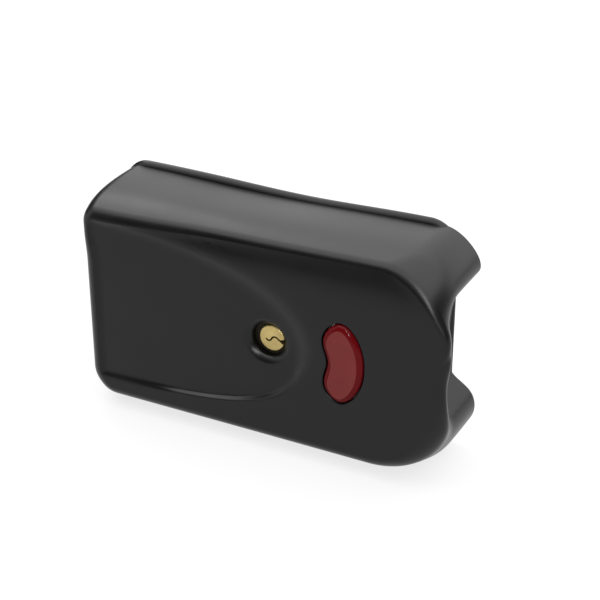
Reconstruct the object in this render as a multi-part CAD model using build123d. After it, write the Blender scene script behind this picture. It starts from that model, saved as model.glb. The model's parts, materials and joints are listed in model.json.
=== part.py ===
from build123d import *
import os
from math import atan2, cos, degrees, radians, sin, sqrt

os.makedirs("parts", exist_ok=True)

# Surface-mounted electric gate lock with a rotary claw.
# The lock lies with its long side level. X runs to the latch end, Y runs from the room side
# back to the gate, and Z is up. The origin is the centre of the mounting face, Y = 0.

# Cover, outside form
cover_depth = 43.0
cover_wall = 3.0
cover_draft_left = 2.4
cover_draft_height = 4.1
wall_curl = 3.3
front_left = -82.2
front_right = 86.3
front_half_height = 43.7
front_upper_radius = 31.0
front_lower_radius = 38.0
front_edge_round = 5.1
upper_left_radius = 6.5
lower_left_radius_front = 12.0
lower_left_radius_rear = 7.0
rear_corner_x = 60.7
upper_lug_tip_x = 77.1
lower_lug_tip_x = 78.5
lug_tip_z = 31.2
lug_shoulder_x = 71.3
lug_shoulder_drop = 4.0
recess_x = 67.2
recess_half = 17.5
recess_floor_y = -26.0
waist = 1.4

# Rim round the rear edge: a plain rounded rectangle that passes behind the lugs
rim_proud = 2.1
rim_depth = 4.0
rim_right = 68.6
rim_corner_radius = 12.0

# Scoop in the front face
scoop_left = -80.0
scoop_tip_x = 21.4
scoop_top_z = 38.6
scoop_bottom_z = -35.0
scoop_depth_left = 1.0
scoop_depth_tip = 2.5
scoop_flare = 1.1

# Key cylinder
cylinder_x = 4.8
cylinder_z = 0.8
plug_radius = 5.75
plug_setback = 4.8
plug_front_y = plug_setback - cover_depth
cylinder_radius = 11.0
cylinder_setback = 6.0
cylinder_front_y = cylinder_setback - cover_depth
cylinder_rear_y = -13.5
opening_radius = 7.3
opening_lip_radius = 9.3
opening_lip_depth = 1.9
keyway_width = 1.3
keyway_depth = 16.0
tail_radius = 3.5
cam_thickness = 3.0
cam_reach = 12.0
cam_width = 7.0
cylinder_hole_radius = 13.5
carrier_y = -24.5
carrier_thickness = 1.5
carrier_half_height = 9.0
carrier_centre_z = -4.0
carrier_foot_left = 11.0
carrier_foot_right = 7.4

# Back plate and its fixings
plate_thickness = 2.5
plate_gap = 0.9
plate_corner_radius = 6.0
mount_hole_radius = 3.25
mount_spacing_x = 112.0
mount_edge_distance = 10.7
mount_spacing_z = 2 * (front_half_height - mount_edge_distance)
cable_hole_radius = 6.0
cable_hole_x = -62.0
cable_hole_z = 6.0
cover_screw_xs = (-50.0, 40.0)
cover_screw_y = -11.0
cover_screw_radius = 2.0
tab_edge_distance = 4.3
tab_z = front_half_height - tab_edge_distance
tab_thickness = 2.0
tab_width = 14.0
tab_front_y = -18.0
hook_xs = (-55.0, 35.0)
hook_front_y = -12.0
hook_sheet = 2.0
hook_gap = 0.3
boss_wall = 2.2
rib_xs = (-66.0, -52.0)
rib_half_height = 31.0
rib_depth = 7.0

# Latch case
case_sheet = 2.0
case_inner_z = 6.0
case_left = 27.0
case_clearance = 8.0
case_front_y = case_clearance - cover_depth
case_right = 63.0
case_foot_height = 10.0
rivet_radius = 2.0

# Claw, a fork that turns on a vertical pin
claw_pivot_x = 56.2
claw_pivot_y = -23.0
claw_open_angle = 50.0
claw_half_thickness = 5.0
claw_body_radius = 12.0
claw_land_radius = 15.0
claw_hook_radius = 21.0
claw_finger_radius = 19.3
claw_tip_round = 0.8
claw_hook_tip = 1.64
claw_finger_tip = 1.37
stop_sleeve_radius = 3.2
stop_flank_share = 0.23
stop_gap = 0.1
claw_pin_radius = 3.5
claw_bush_radius = 4.6
striker_reach = 17.0
striker_slot_half = 4.5
running_gap = 0.05
fixed_gap = 0.02
claw_spring_recess_radius = 9.0
claw_spring_recess_depth = 4.6
claw_spring_radius = 7.4
spring_wire = 1.0
claw_slot_half = 6.5
claw_slot_reach = 11.8
claw_slot_front_y = claw_pivot_y - claw_slot_reach
rear_strip = 3.2

# Pawl and its levers on one spindle
pawl_pivot_x = 33.0
pawl_pivot_setback = 4.5
pawl_pivot_y = case_front_y + pawl_pivot_setback
pawl_half_thickness = 4.0
pawl_hub_radius = 4.5
pawl_gap = 0.3
pawl_lift_angle = 14.0
spindle_radius = 3.0
spindle_bush_radius = 4.5
spindle_flange_radius = 4.9
spindle_bottom_z = -9.8
button_lever_z = 8.8
button_lever_thickness = 4.0
button_lever_y = -24.5
solenoid_lever_thickness = 3.0
lever_width = 5.0

# Button
button_x = 39.6
button_z = 0.0
button_proud = 1.3
button_gap = 0.5
button_half_width = 8.7
button_half_length = 17.6
button_travel = 4.0
button_setback = 3.2
button_rear_y = button_setback - cover_depth
button_bevel = 1.6
button_flange_grow = 1.6
button_flange_thickness = 2.0
push_stem_x = 43.0
push_stem_z = 11.5
push_stem_gap = 1.9
push_stem_tip_y = button_lever_y - push_stem_gap
guide_stem_x = 41.5
guide_stem_z = -12.5
flange_clear_x = 38.6
stem_radius = 2.0
guide_tab_y = -28.5
guide_tab_thickness = 1.5
guide_tab_half = 3.8

# Solenoid
solenoid_z = 26.0
solenoid_y = -16.0
solenoid_left = -40.0
solenoid_right = 6.0
coil_radius = 11.0
yoke_sheet = 2.0
bobbin_wall = 1.2
plunger_radius = 4.5
plunger_gap = 0.3
core_length = 14.0
release_bar_x = 16.0
clevis_x = 18.0
clevis_end_x = 36.5
clevis_sheet = 2.0
clevis_pin_radius = 1.5

# Terminal block
terminal_x = -62.0
terminal_z = -13.0
terminal_length = 26.0
terminal_height = 14.0
terminal_depth = 13.0
terminal_ways = 3


def past_cover():
    """A height or depth that is well outside the cover."""
    return 1.4 * front_half_height


def front_plane(y):
    """Plane across the lock at depth y, seen from the room: local x is X and local y is Z."""
    return Plane(origin=(0, y, 0), x_dir=(1, 0, 0), z_dir=(0, -1, 0))


def block(x0, x1, y0, y1, z0, z1):
    """Box between two corners."""
    return Pos((x0 + x1) / 2, (y0 + y1) / 2, (z0 + z1) / 2) * Box(
        abs(x1 - x0), abs(y1 - y0), abs(z1 - z0)
    )


def rod_y(x, z, y0, y1, radius):
    """Round bar along Y."""
    return Pos(x, (y0 + y1) / 2, z) * Rot(90, 0, 0) * Cylinder(radius, abs(y1 - y0))


def rod_z(x, y, z0, z1, radius):
    """Round bar along Z."""
    return Pos(x, y, (z0 + z1) / 2) * Cylinder(radius, abs(z1 - z0))


def rod_x(y, z, x0, x1, radius):
    """Round bar along X."""
    return Pos((x0 + x1) / 2, y, z) * Rot(0, 90, 0) * Cylinder(radius, abs(x1 - x0))


def coil_spring(radius, length, turns, wire):
    """Open helical spring of square wire from z = 0 up to its length."""
    pitch = (length - wire) / turns
    path = Helix(pitch, pitch * turns, radius)
    start = Plane(origin=path @ 0, z_dir=path % 0)
    wire_section = start * Rectangle(wire, wire)
    return Pos(0, 0, wire / 2) * sweep(wire_section, path=path)


def save(name, shape):
    """Write one sub-part."""
    export_step(shape, f"parts/{name}.step")


def mix(rear, front, share):
    return rear + (front - rear) * share


def front_nose(side):
    """One half of the front outline's latch end: a large round corner and a straight side."""
    radius = front_upper_radius if side > 0 else front_lower_radius
    centre_x = front_right - radius
    centre_z = front_half_height - radius
    turned = [
        (centre_x + radius * sin(radians(angle)), centre_z + radius * cos(radians(angle)))
        for angle in (0, 32, 60, 80)
    ]
    return turned + [(front_right, centre_z * 0.7), (front_right, 0)]


def rear_nose(side):
    """One half of the rear outline's latch end: a round lug, its flank and the recess."""
    rear_half = front_half_height + cover_draft_height
    tip_x = upper_lug_tip_x if side > 0 else lower_lug_tip_x
    flank_share = 0.25 if side > 0 else 0.8
    foot_x = recess_x + 1.4
    return [
        (rear_corner_x, rear_half),
        (lug_shoulder_x, rear_half - lug_shoulder_drop),
        (tip_x, lug_tip_z),
        (mix(foot_x, tip_x, flank_share), mix(recess_half, lug_tip_z, 0.5)),
        (foot_x, recess_half),
        (recess_x, 0),
    ]


def nose_half(y, side):
    """Upper or lower half of the latch end at depth y. The recess keeps its shape to its floor."""
    share = max(0.0, (recess_floor_y - y) / (recess_floor_y + cover_depth))
    points = []
    for (rear_x, rear_z), (front_x, front_z) in zip(rear_nose(side), front_nose(side)):
        points.append((mix(rear_x, front_x, share), mix(rear_z, front_z, share)))
    drop = points[0][1] - half_height(y)
    return [(x, z - drop * max(0.0, min(1.0, (z - recess_half) / 20))) for x, z in points]


def inset_points(points, inset):
    """Move each point of the latch end inwards, square to the outline."""
    full = [Vector(x, z) for x, z in points]
    moved = []
    for index, point in enumerate(full):
        if index in (0, len(full) - 1):
            outward = Vector(0, 1 if index == 0 else -1)
        else:
            along = (full[index + 1] - full[index - 1]).normalized()
            outward = Vector(-along.Y, along.X)
        spot = point - outward * inset
        moved.append((spot.X, spot.Y))
    return moved


def curled(rear, front, y):
    """Place of a wall at depth y: nearly level behind, then curling in towards the front."""
    return mix(rear, front, (-y / cover_depth) ** wall_curl)


def half_height(y):
    return curled(front_half_height + cover_draft_height, front_half_height, y)


def left_end(y):
    return curled(front_left - cover_draft_left, front_left, y)


def closed_outline(left, half, high_radius, low_radius, waist_depth, nose):
    """Outline with waisted long sides, two round corners at the left and a given right end."""
    right_high = nose[0][0]
    right_low = nose[-1][0]
    cut = 1 - sqrt(0.5)
    top = Spline(
        (left + high_radius, half), ((left + right_high) / 2, half - waist_depth), (right_high, half),
        tangents=[(1, 0), (1, 0)],
    )
    bottom = Spline(
        (right_low, -half), ((left + right_low) / 2, -half + waist_depth), (left + low_radius, -half),
        tangents=[(-1, 0), (-1, 0)],
    )
    end = Spline(*nose, tangents=[(1, 0), (-1, 0)], tangent_scalars=[0.5, 0.5])
    low = ThreePointArc(
        (left + low_radius, -half), (left + cut * low_radius, -half + cut * low_radius),
        (left, -half + low_radius),
    )
    side = Line((left, -half + low_radius), (left, half - high_radius))
    high = ThreePointArc(
        (left, half - high_radius), (left + cut * high_radius, half - cut * high_radius),
        (left + high_radius, half),
    )
    return make_face([top, end, bottom, low, side, high])


def cover_outline(y, inset=0.0):
    """Closed outline of the cover at depth y."""
    share = -y / cover_depth
    half = half_height(y) - inset
    upper = nose_half(y, 1)
    lower = nose_half(y, -1)
    nose = inset_points(upper + [(x, -z) for x, z in reversed(lower[:-1])], inset)
    high_radius = upper_left_radius - 0.8 * inset
    low_radius = mix(lower_left_radius_rear, lower_left_radius_front, share) - 0.8 * inset
    face = closed_outline(
        left_end(y) + inset, half, high_radius, low_radius, mix(waist, 0, share), nose
    )
    return front_plane(y) * face


def rim_form():
    """Flat band that stands out round the cover's rear edge."""
    left = left_end(0) - rim_proud
    half = half_height(0) + rim_proud
    width = rim_right - left
    flat = Pos((left + rim_right) / 2, 0) * RectangleRounded(width, 2 * half, rim_corner_radius)
    return extrude(front_plane(0) * flat, rim_depth)


def cover_form(inset, rear_y, front_y, edge_round):
    """Solid of the cover's form, with its front edge rounded over in three steps."""
    shoulder_y = front_y + edge_round
    depths = [rear_y, recess_floor_y / 2, recess_floor_y, (recess_floor_y + shoulder_y) / 2, shoulder_y]
    form = Part()
    for behind, ahead in zip(depths[:-1], depths[1:]):
        form = form + loft([cover_outline(behind, inset), cover_outline(ahead, inset)])
    steps = []
    for angle in (0, 30, 60, 90):
        y = shoulder_y - edge_round * sin(radians(angle))
        steps.append(cover_outline(y, inset + 0.9 * edge_round * (1 - cos(radians(angle)))))
    return form + loft(steps)


def scoop_depth_at(x):
    """Depth of the scoop below the front plane at a place along X."""
    share = (x - scoop_left) / (scoop_tip_x - scoop_left)
    return mix(scoop_depth_left, scoop_depth_tip, share)


def scoop_outline(grow):
    """Rim of the scoop on the front plane: a blunt half ellipse, open past the left edge."""
    width = scoop_tip_x - scoop_left
    start = scoop_left - 15
    shares = [(0.36, 0.95), (0.65, 0.79), (0.845, 0.57), (0.975, 0.24)]
    lower_shares = [(0.965, 0.35), (0.855, 0.66), (0.66, 0.86), (0.42, 0.95)]
    upper = [(scoop_left + width * x, scoop_top_z * z) for x, z in shares]
    lower = [(scoop_left + width * x, scoop_bottom_z * z) for x, z in lower_shares]
    points = [(start, scoop_top_z), *upper, (scoop_tip_x, -0.02 * width), *lower, (start, scoop_bottom_z)]
    rim = [Vector(x, z) for x, z in points]
    moved = []
    for index, spot in enumerate(rim):
        ahead = rim[min(index + 1, len(rim) - 1)]
        behind = rim[max(index - 1, 0)]
        along = (ahead - behind).normalized()
        outward = Vector(-along.Y, along.X)
        place = spot + outward * grow
        moved.append((start if index in (0, len(rim) - 1) else place.X, place.Y))
    return make_face([Spline(*moved), Line(moved[-1], moved[0])])


def scoop_form(grow=0.0, sink=0.0):
    """Cutter for the scoop: its sloping floor, drawn out to the front with flared walls."""
    tilt = atan2(scoop_depth_tip - scoop_depth_left, scoop_tip_x - scoop_left)
    floor = Plane(
        origin=(0, scoop_depth_at(0) - cover_depth + sink, 0),
        x_dir=(cos(tilt), sin(tilt), 0),
        z_dir=(sin(tilt), -cos(tilt), 0),
    )
    height = scoop_depth_tip + sink + 1.0
    start = grow - scoop_flare * (scoop_depth_left + scoop_depth_tip) / 2
    low = floor * scoop_outline(start)
    high = floor.offset(height) * scoop_outline(start + scoop_flare * height)
    return loft([low, high])


def kidney(y, grow=0.0):
    """Outline of the push button: two lobes, a full side to the right and a waist at the left."""
    shares = [
        (-0.12, 1.0), (0.66, 0.68), (1.0, 0.0), (0.66, -0.67),
        (-0.13, -0.98), (-0.95, -0.61), (-0.78, -0.03), (-1.02, 0.54),
    ]
    spots = [Vector(x * button_half_width, z * button_half_length) for x, z in shares]
    moved = []
    for index, spot in enumerate(spots):
        along = (spots[(index + 1) % len(spots)] - spots[index - 1]).normalized()
        moved.append(spot + Vector(-along.Y, along.X) * grow)
    shifted = [(button_x + spot.X, button_z + spot.Y) for spot in moved]
    return front_plane(y) * make_face(Spline(*shifted, periodic=True))


def button_block(y0, y1, grow=0.0):
    """Kidney-shaped bar from depth y0 forward to depth y1."""
    return loft([kidney(y0, grow), kidney(y1, grow)])


def make_cover():
    outer = cover_form(0, 0, -cover_depth, front_edge_round)
    outer = outer + rim_form()
    inner_round = front_edge_round - cover_wall * 0.6
    hollow = cover_form(cover_wall, 0, -cover_depth + cover_wall, inner_round)
    hollow = hollow - scoop_form(cover_wall, cover_wall)
    shell = outer - hollow
    shell = shell - scoop_form()

    lip_y = scoop_depth_at(cylinder_x) - cover_depth
    lip_centre = Pos(cylinder_x, lip_y - 1.0 + (opening_lip_depth + 1.0) / 2, cylinder_z)
    lip = lip_centre * Rot(-90, 0, 0) * Cone(
        opening_lip_radius + 1.0, opening_radius, opening_lip_depth + 1.0
    )
    shell = shell - lip - rod_y(cylinder_x, cylinder_z, -cover_depth, -cover_depth + 12, opening_radius)
    shell = shell - button_block(-cover_depth + 2 * cover_wall, -cover_depth - 2, button_gap)

    shell = shell - block(recess_x - 8, front_right, claw_slot_front_y, -rear_strip,
                          -claw_slot_half, claw_slot_half)
    shell = shell + cover_bosses(outer)
    for x in cover_screw_xs:
        shell = shell - rod_z(x, cover_screw_y, -past_cover(), -tab_z, cover_screw_radius + 0.3)
        shell = shell - rod_z(x, cover_screw_y, -past_cover(), screw_seat_z(), screw_head_radius() + 0.4)
    return shell + cover_ribs()


def screw_seat_z():
    return -(tab_z + tab_thickness + 1.6)


def screw_head_radius():
    return cover_screw_radius * 1.9


def cover_bosses(outer):
    """Screw bosses under the lower wall and hook ribs under the upper wall, cut to the form."""
    boss_top = -(tab_z + tab_thickness)
    boss_radius = screw_head_radius() + boss_wall
    bosses = [rod_z(x, cover_screw_y, -past_cover(), boss_top, boss_radius) for x in cover_screw_xs]
    hook_rear = hook_front_y + hook_sheet + hook_gap
    hooks = [
        block(x - 5, x + 5, hook_rear, hook_rear + 2.7, tab_z + hook_sheet - 1.0, past_cover())
        for x in hook_xs
    ]
    made = Part() + bosses + hooks
    return made & outer


def cover_ribs():
    """Two stiffening ribs behind the front wall, left of the solenoid."""
    inner_y = -cover_depth + cover_wall
    ribs = [
        block(x - 1, x + 1, inner_y - 1.0, inner_y + rib_depth - 1.0, -rib_half_height, rib_half_height)
        for x in rib_xs
    ]
    return Part() + ribs


def plate_form():
    """Flat sheet inside the cover's rear edge, cut straight across behind the latch recess."""
    inset = cover_wall + plate_gap
    sheet = extrude(cover_outline(-plate_thickness, inset), -plate_thickness)
    right = recess_x - inset
    width = right - 2 * front_left
    height = 2 * (half_height(0) - inset)
    limit = Pos(right - width / 2, 0) * RectangleRounded(width, height, plate_corner_radius)
    return sheet & extrude(front_plane(0) * limit, plate_thickness)


def make_back_plate():
    plate = plate_form()
    for sx in (-1, 1):
        for sz in (-1, 1):
            x = sx * mount_spacing_x / 2
            z = sz * mount_spacing_z / 2
            plate = plate - rod_y(x, z, -4, 1, mount_hole_radius)
    plate = plate - rod_y(cylinder_x, cylinder_z, -4, 1, cylinder_hole_radius)
    plate = plate - rod_y(cable_hole_x, cable_hole_z, -4, 1, cable_hole_radius)
    for x in cover_screw_xs:
        tab = block(x - tab_width / 2, x + tab_width / 2, tab_front_y, 0,
                    -tab_z - tab_thickness, -tab_z)
        plate = plate + tab - rod_z(x, cover_screw_y, -past_cover(), 0, cover_screw_radius + 0.3)
    for x in hook_xs:
        arm = block(x - tab_width / 2, x + tab_width / 2, hook_front_y, 0, tab_z - hook_sheet, tab_z)
        lip = block(x - tab_width / 2, x + tab_width / 2, hook_front_y, hook_front_y + hook_sheet,
                    tab_z, tab_z + hook_sheet)
        plate = plate + arm + lip
    for x, z in rivet_spots():
        plate = plate - rod_y(x, z, -4, 1, rivet_radius + fixed_gap)
    return plate


def make_cover_screws():
    screws = []
    for x in cover_screw_xs:
        seat = screw_seat_z()
        shank = rod_z(x, cover_screw_y, seat, -tab_z + 5.0, cover_screw_radius)
        head = rod_z(x, cover_screw_y, seat - 2.2, seat, screw_head_radius())
        head = chamfer(head.faces().sort_by(Axis.Z)[0].edges(), 0.6)
        socket = Pos(x, cover_screw_y, seat - 1.5) * extrude(RegularPolygon(1.45, 6), 1.6, both=True)
        socket = socket & block(x - 3, x + 3, cover_screw_y - 3, cover_screw_y + 3, seat - 3, seat - 0.8)
        screws.append(shank + head - socket)
    return Compound(children=screws)


def make_inserts():
    """Threaded clinch nuts on the two lower tabs."""
    nuts = []
    for x in cover_screw_xs:
        body = rod_z(x, cover_screw_y, -tab_z, -tab_z + 4.2, cover_screw_radius + 1.8)
        bore = rod_z(x, cover_screw_y, -tab_z - 1, -tab_z + 6, cover_screw_radius + fixed_gap)
        nuts.append(body - bore)
    return Compound(children=nuts)


def rivet_spots():
    """Rivet places on the feet of the upper and the lower case plate."""
    z = case_inner_z + case_sheet + case_foot_height / 2
    return [(x, side * z) for x in (case_left + 6, case_right - 12) for side in (1, -1)]


def make_case_plate(side):
    """One latch case plate. side is 1 for the upper one and -1 for the lower one."""
    rear_y = -plate_thickness
    outline = Polyline(
        (case_left, rear_y), (case_right, rear_y), (case_right, case_front_y + 3),
        (case_right - 3, case_front_y), (case_left + 3, case_front_y),
        (case_left, case_front_y + 3), close=True,
    )
    sheet = extrude(make_face(outline), case_sheet)
    sheet = Pos(0, 0, case_inner_z) * sheet
    top = case_inner_z + case_sheet
    foot = block(case_left, case_right - 5, rear_y - case_sheet, rear_y, top, top + case_foot_height)
    plate = sheet + foot
    plate = plate - rod_z(claw_pivot_x, claw_pivot_y, 0, 20, claw_pin_radius + fixed_gap)
    plate = plate - rod_z(pawl_pivot_x, pawl_pivot_y, 0, 20, spindle_bush_radius + fixed_gap)
    for x, y in post_spots():
        plate = plate - rod_z(x, y, 0, 20, 1.5 + fixed_gap)
    for x, z in rivet_spots():
        if z > 0:
            plate = plate - rod_y(x, z, -6, 0, rivet_radius + fixed_gap)
    stem_x, stem_z = (push_stem_x, push_stem_z) if side > 0 else (guide_stem_x, -guide_stem_z)
    tab = block(stem_x - guide_tab_half, stem_x + guide_tab_half,
                guide_tab_y - guide_tab_thickness, guide_tab_y, top, stem_z + guide_tab_half)
    plate = plate + tab
    plate = plate - rod_y(stem_x, stem_z, guide_tab_y - 3, guide_tab_y + 1, stem_radius + 0.2)
    return plate if side > 0 else mirror(plate, Plane.XY)


def post_spots():
    """Spacer post at the left, and the post that stops the claw when it is open."""
    return [(case_left + 4, -9.0), stop_post_spot()]


def make_rivets():
    made = []
    for x, z in rivet_spots():
        foot_front = -plate_thickness - case_sheet
        shank = rod_y(x, z, foot_front, 0, rivet_radius)
        head = rod_y(x, z, foot_front - 1.3, foot_front, rivet_radius * 1.7)
        head = chamfer(head.faces().sort_by(Axis.Y)[0].edges(), 0.7)
        made.append(shank + head)
    return Compound(children=made)


def make_posts():
    outer_z = case_inner_z + case_sheet
    made = []
    for x, y in post_spots():
        body = rod_z(x, y, -case_inner_z, case_inner_z, 2.2)
        spigot = rod_z(x, y, -outer_z, outer_z, 1.5)
        heads = rod_z(x, y, outer_z, outer_z + 0.8, 2.4) + rod_z(x, y, -outer_z - 0.8, -outer_z, 2.4)
        made.append(body + spigot + heads)
    return Compound(children=made)


def make_stop_buffer():
    """Rubber sleeve on the stop post."""
    x, y = post_spots()[1]
    sleeve = rod_z(x, y, -claw_half_thickness, claw_half_thickness, stop_sleeve_radius)
    return sleeve - rod_z(x, y, -10, 10, 2.2 + fixed_gap)


def claw_point(radius, angle):
    return (radius * cos(radians(angle)), radius * sin(radians(angle)))


def claw_tip_point(radius, height):
    """Point on a circle of the claw at a height over its middle line."""
    return (sqrt(radius**2 - height**2), height)


def claw_back():
    """Ends of the straight flank at the hook's back, which rests on the stop sleeve."""
    return claw_point(claw_hook_radius - 3.2, 66), claw_point(claw_body_radius, 88)


def stop_post_spot():
    """Place of the stop post, square off the open claw's flank."""
    top, root = (Vector(x, y) for x, y in claw_back())
    square = (top - root).normalized().rotate(Axis.Z, 90)
    spot = top + (root - top) * stop_flank_share + square * (stop_sleeve_radius + stop_gap)
    spot = spot.rotate(Axis.Z, claw_open_angle)
    return (claw_pivot_x + spot.X, claw_pivot_y + spot.Y)


def make_claw():
    """Fork drawn shut, with its slot along X, then turned to the open rest pose."""
    slot = striker_slot_half
    hook_end = claw_tip_point(claw_hook_radius, slot + claw_hook_tip)
    finger_end = claw_tip_point(claw_finger_radius - 0.3, slot + claw_finger_tip)
    back_top, back_root = claw_back()
    hook = Polyline(
        (0, slot), (claw_hook_radius - 0.6, slot), hook_end,
        claw_point(claw_hook_radius - 1.6, 32), claw_point(claw_hook_radius - 2.0, 46),
        back_top, back_root, (0, 0), close=True,
    )
    finger = Polyline(
        (0, -slot), (claw_finger_radius - 1.6, -slot), (finger_end[0], -finger_end[1]),
        claw_point(claw_finger_radius - 0.3, -32), claw_point(claw_finger_radius - 1.8, -47),
        claw_point(claw_body_radius, -84), (0, 0), close=True,
    )
    shoulder = degrees(atan2(nose_rear_y() - claw_pivot_y, nose_x() - claw_pivot_x)) - 0.6
    land = Polyline(
        (0, 0), claw_point(claw_land_radius * 1.4, 112), claw_point(claw_land_radius * 1.7, 142),
        claw_point(claw_land_radius * 1.4, shoulder), close=True,
    )
    land = make_face(land) & Circle(claw_land_radius)
    profile = Circle(claw_body_radius) + make_face(hook) + make_face(finger) + land
    profile = profile - Pos(striker_reach + 10, 0) * Rectangle(20, 2 * slot)
    profile = profile - Pos(striker_reach, 0) * Circle(slot)
    body = extrude(profile, claw_half_thickness, both=True)
    body = body - Cylinder(claw_bush_radius + fixed_gap, 40)
    recess_z = claw_half_thickness - claw_spring_recess_depth
    groove = Cylinder(claw_spring_recess_radius, 2 * claw_spring_recess_depth)
    groove = groove - Cylinder(claw_bush_radius + 1.3, 30)
    body = body - Pos(0, 0, recess_z + claw_spring_recess_depth) * groove
    tips = body.edges().filter_by(Axis.Z).filter_by(
        lambda edge: edge.center().X > striker_reach and abs(edge.center().Y) < claw_body_radius
    )
    body = fillet(tips, claw_tip_round)
    return place_claw(body)


def place_claw(shape):
    return Pos(claw_pivot_x, claw_pivot_y, 0) * Rot(0, 0, claw_open_angle) * shape


def make_claw_bush():
    tube = Cylinder(claw_bush_radius, 2 * claw_half_thickness)
    return place_claw(tube - Cylinder(claw_pin_radius + running_gap, 40))


def make_claw_pin():
    outer_z = case_inner_z + case_sheet
    pin = rod_z(claw_pivot_x, claw_pivot_y, -outer_z, outer_z, claw_pin_radius)
    for side in (1, -1):
        head = rod_z(claw_pivot_x, claw_pivot_y, side * outer_z, side * (outer_z + 1.5),
                     claw_pin_radius * 1.6)
        pin = pin + head
    return pin


def make_claw_washers():
    made = []
    for side in (1, -1):
        ring = rod_z(claw_pivot_x, claw_pivot_y, side * (claw_half_thickness + 0.2),
                     side * case_inner_z, claw_bush_radius + 1.0)
        made.append(ring - rod_z(claw_pivot_x, claw_pivot_y, -10, 10, claw_pin_radius + 0.1))
    return Compound(children=made)


def make_claw_spring():
    """Torsion spring in the claw's recess. Its upper end stands in a hole of the upper plate."""
    length = claw_spring_recess_depth - 0.8
    coil = coil_spring(claw_spring_radius, length, 2.5, spring_wire)
    return Pos(claw_pivot_x, claw_pivot_y, claw_half_thickness - claw_spring_recess_depth + 0.3) * coil


def nose_x():
    return claw_pivot_x - claw_land_radius - pawl_gap


def nose_rear_y():
    return claw_pivot_y + 1.8


def make_pawl():
    """Hooked pawl. Its nose rides just clear of the claw's land while the claw is open."""
    tip_x = nose_x()
    rear_y = nose_rear_y()
    arm = make_hull(
        (Pos(pawl_pivot_x, pawl_pivot_y) * Circle(pawl_hub_radius)).edges()
        + (Pos(tip_x - 3.4, rear_y - 1.6) * Circle(2.6)).edges()
    )
    nose = make_face(Polyline(
        (tip_x - 5, rear_y + 0.6), (tip_x, rear_y), (tip_x, rear_y - 3.2),
        (tip_x - 2.6, rear_y - 5.2), (tip_x - 5, rear_y - 4), close=True,
    ))
    body = extrude(arm + nose, pawl_half_thickness, both=True)
    return body - rod_z(pawl_pivot_x, pawl_pivot_y, -10, 10, spindle_radius + fixed_gap)


def lever_top_z():
    return solenoid_z + solenoid_lever_thickness / 2


def make_spindle():
    """Shaft that turns the pawl with its two levers. A groove near the top holds the clip."""
    top = lever_top_z() + 2.6
    shaft = rod_z(pawl_pivot_x, pawl_pivot_y, spindle_bottom_z, top, spindle_radius)
    ring = rod_z(pawl_pivot_x, pawl_pivot_y, lever_top_z() + 0.3, lever_top_z() + 1.1, 6)
    ring = ring - rod_z(pawl_pivot_x, pawl_pivot_y, 0, 60, spindle_radius - 0.6)
    return shaft - ring


def make_spindle_clip():
    """E-shaped retaining clip in the spindle's groove."""
    low = lever_top_z() + 0.3
    disc = rod_z(pawl_pivot_x, pawl_pivot_y, low, low + 0.8, spindle_radius + 2.2)
    disc = disc - rod_z(pawl_pivot_x, pawl_pivot_y, 0, 60, spindle_radius - 0.6)
    mouth = block(pawl_pivot_x - 2.0, pawl_pivot_x + 2.0, pawl_pivot_y - 8, pawl_pivot_y, 0, 60)
    return disc - mouth


def make_spindle_bushes():
    """Flanged bushes in the two case plates."""
    made = []
    for side in (1, -1):
        inner_z = pawl_half_thickness + 0.3
        sleeve = rod_z(pawl_pivot_x, pawl_pivot_y, side * inner_z,
                       side * (case_inner_z + case_sheet), spindle_bush_radius)
        flange = rod_z(pawl_pivot_x, pawl_pivot_y, side * inner_z, side * case_inner_z,
                       spindle_flange_radius)
        bore = rod_z(pawl_pivot_x, pawl_pivot_y, -30, 30, spindle_radius + running_gap)
        made.append(sleeve + flange - bore)
    return Compound(children=made)


def make_button_lever():
    """Bent lever that the button's upper stem pushes back."""
    x, y = pawl_pivot_x, pawl_pivot_y
    low = button_lever_z
    high = low + button_lever_thickness
    hub = rod_z(x, y, low, high, spindle_radius + 2.0)
    upright = block(x - lever_width / 2, x + lever_width / 2, y, button_lever_y + lever_width, low, high)
    reach = block(x - lever_width / 2, push_stem_x + 2.5, button_lever_y, button_lever_y + lever_width,
                  low, high)
    lever = hub + upright + reach
    lever = fillet(lever.edges().filter_by(Axis.Z).sort_by(Axis.X)[-2:], 1.2)
    return lever - rod_z(x, y, low - 1, high + 1, spindle_radius + fixed_gap)


def make_lever_sleeve():
    """Distance tube between the two levers."""
    low = button_lever_z + button_lever_thickness
    high = solenoid_z - solenoid_lever_thickness / 2
    tube = rod_z(pawl_pivot_x, pawl_pivot_y, low, high, spindle_radius + 1.2)
    return tube - rod_z(pawl_pivot_x, pawl_pivot_y, low - 1, high + 1, spindle_radius + fixed_gap)


def make_solenoid_lever():
    """Upper lever with a slotted end round the clevis pin."""
    x, y = pawl_pivot_x, pawl_pivot_y
    low = solenoid_z - solenoid_lever_thickness / 2
    plan = make_hull(
        (Pos(x, y) * Circle(spindle_radius + 2.4)).edges() + (Pos(x, solenoid_y) * Circle(4.2)).edges()
    )
    slot_radius = clevis_pin_radius + 0.25
    slot = Pos(x, solenoid_y) * SlotOverall(2 * slot_radius + 2.4, 2 * slot_radius, rotation=90)
    lever = Pos(0, 0, low) * extrude(plan - slot, solenoid_lever_thickness)
    return lever - rod_z(x, y, low - 1, lever_top_z() + 1, spindle_radius + fixed_gap)


def make_pawl_spring():
    low = button_lever_z + button_lever_thickness + 1.0
    coil = coil_spring(spindle_radius + 2.0, 7.0, 3, 0.9)
    return Pos(pawl_pivot_x, pawl_pivot_y, low) * coil


def make_button_cap():
    """Red cap with a bevelled face and a pocket behind for its carrier."""
    front_y = -cover_depth - button_proud
    shoulder_y = front_y + button_bevel
    cap = button_block(button_rear_y, shoulder_y)
    cap = cap + loft([kidney(shoulder_y), kidney(front_y, -button_bevel)])
    return cap - button_block(button_rear_y, button_rear_y - 1.8, -1.2)


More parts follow.
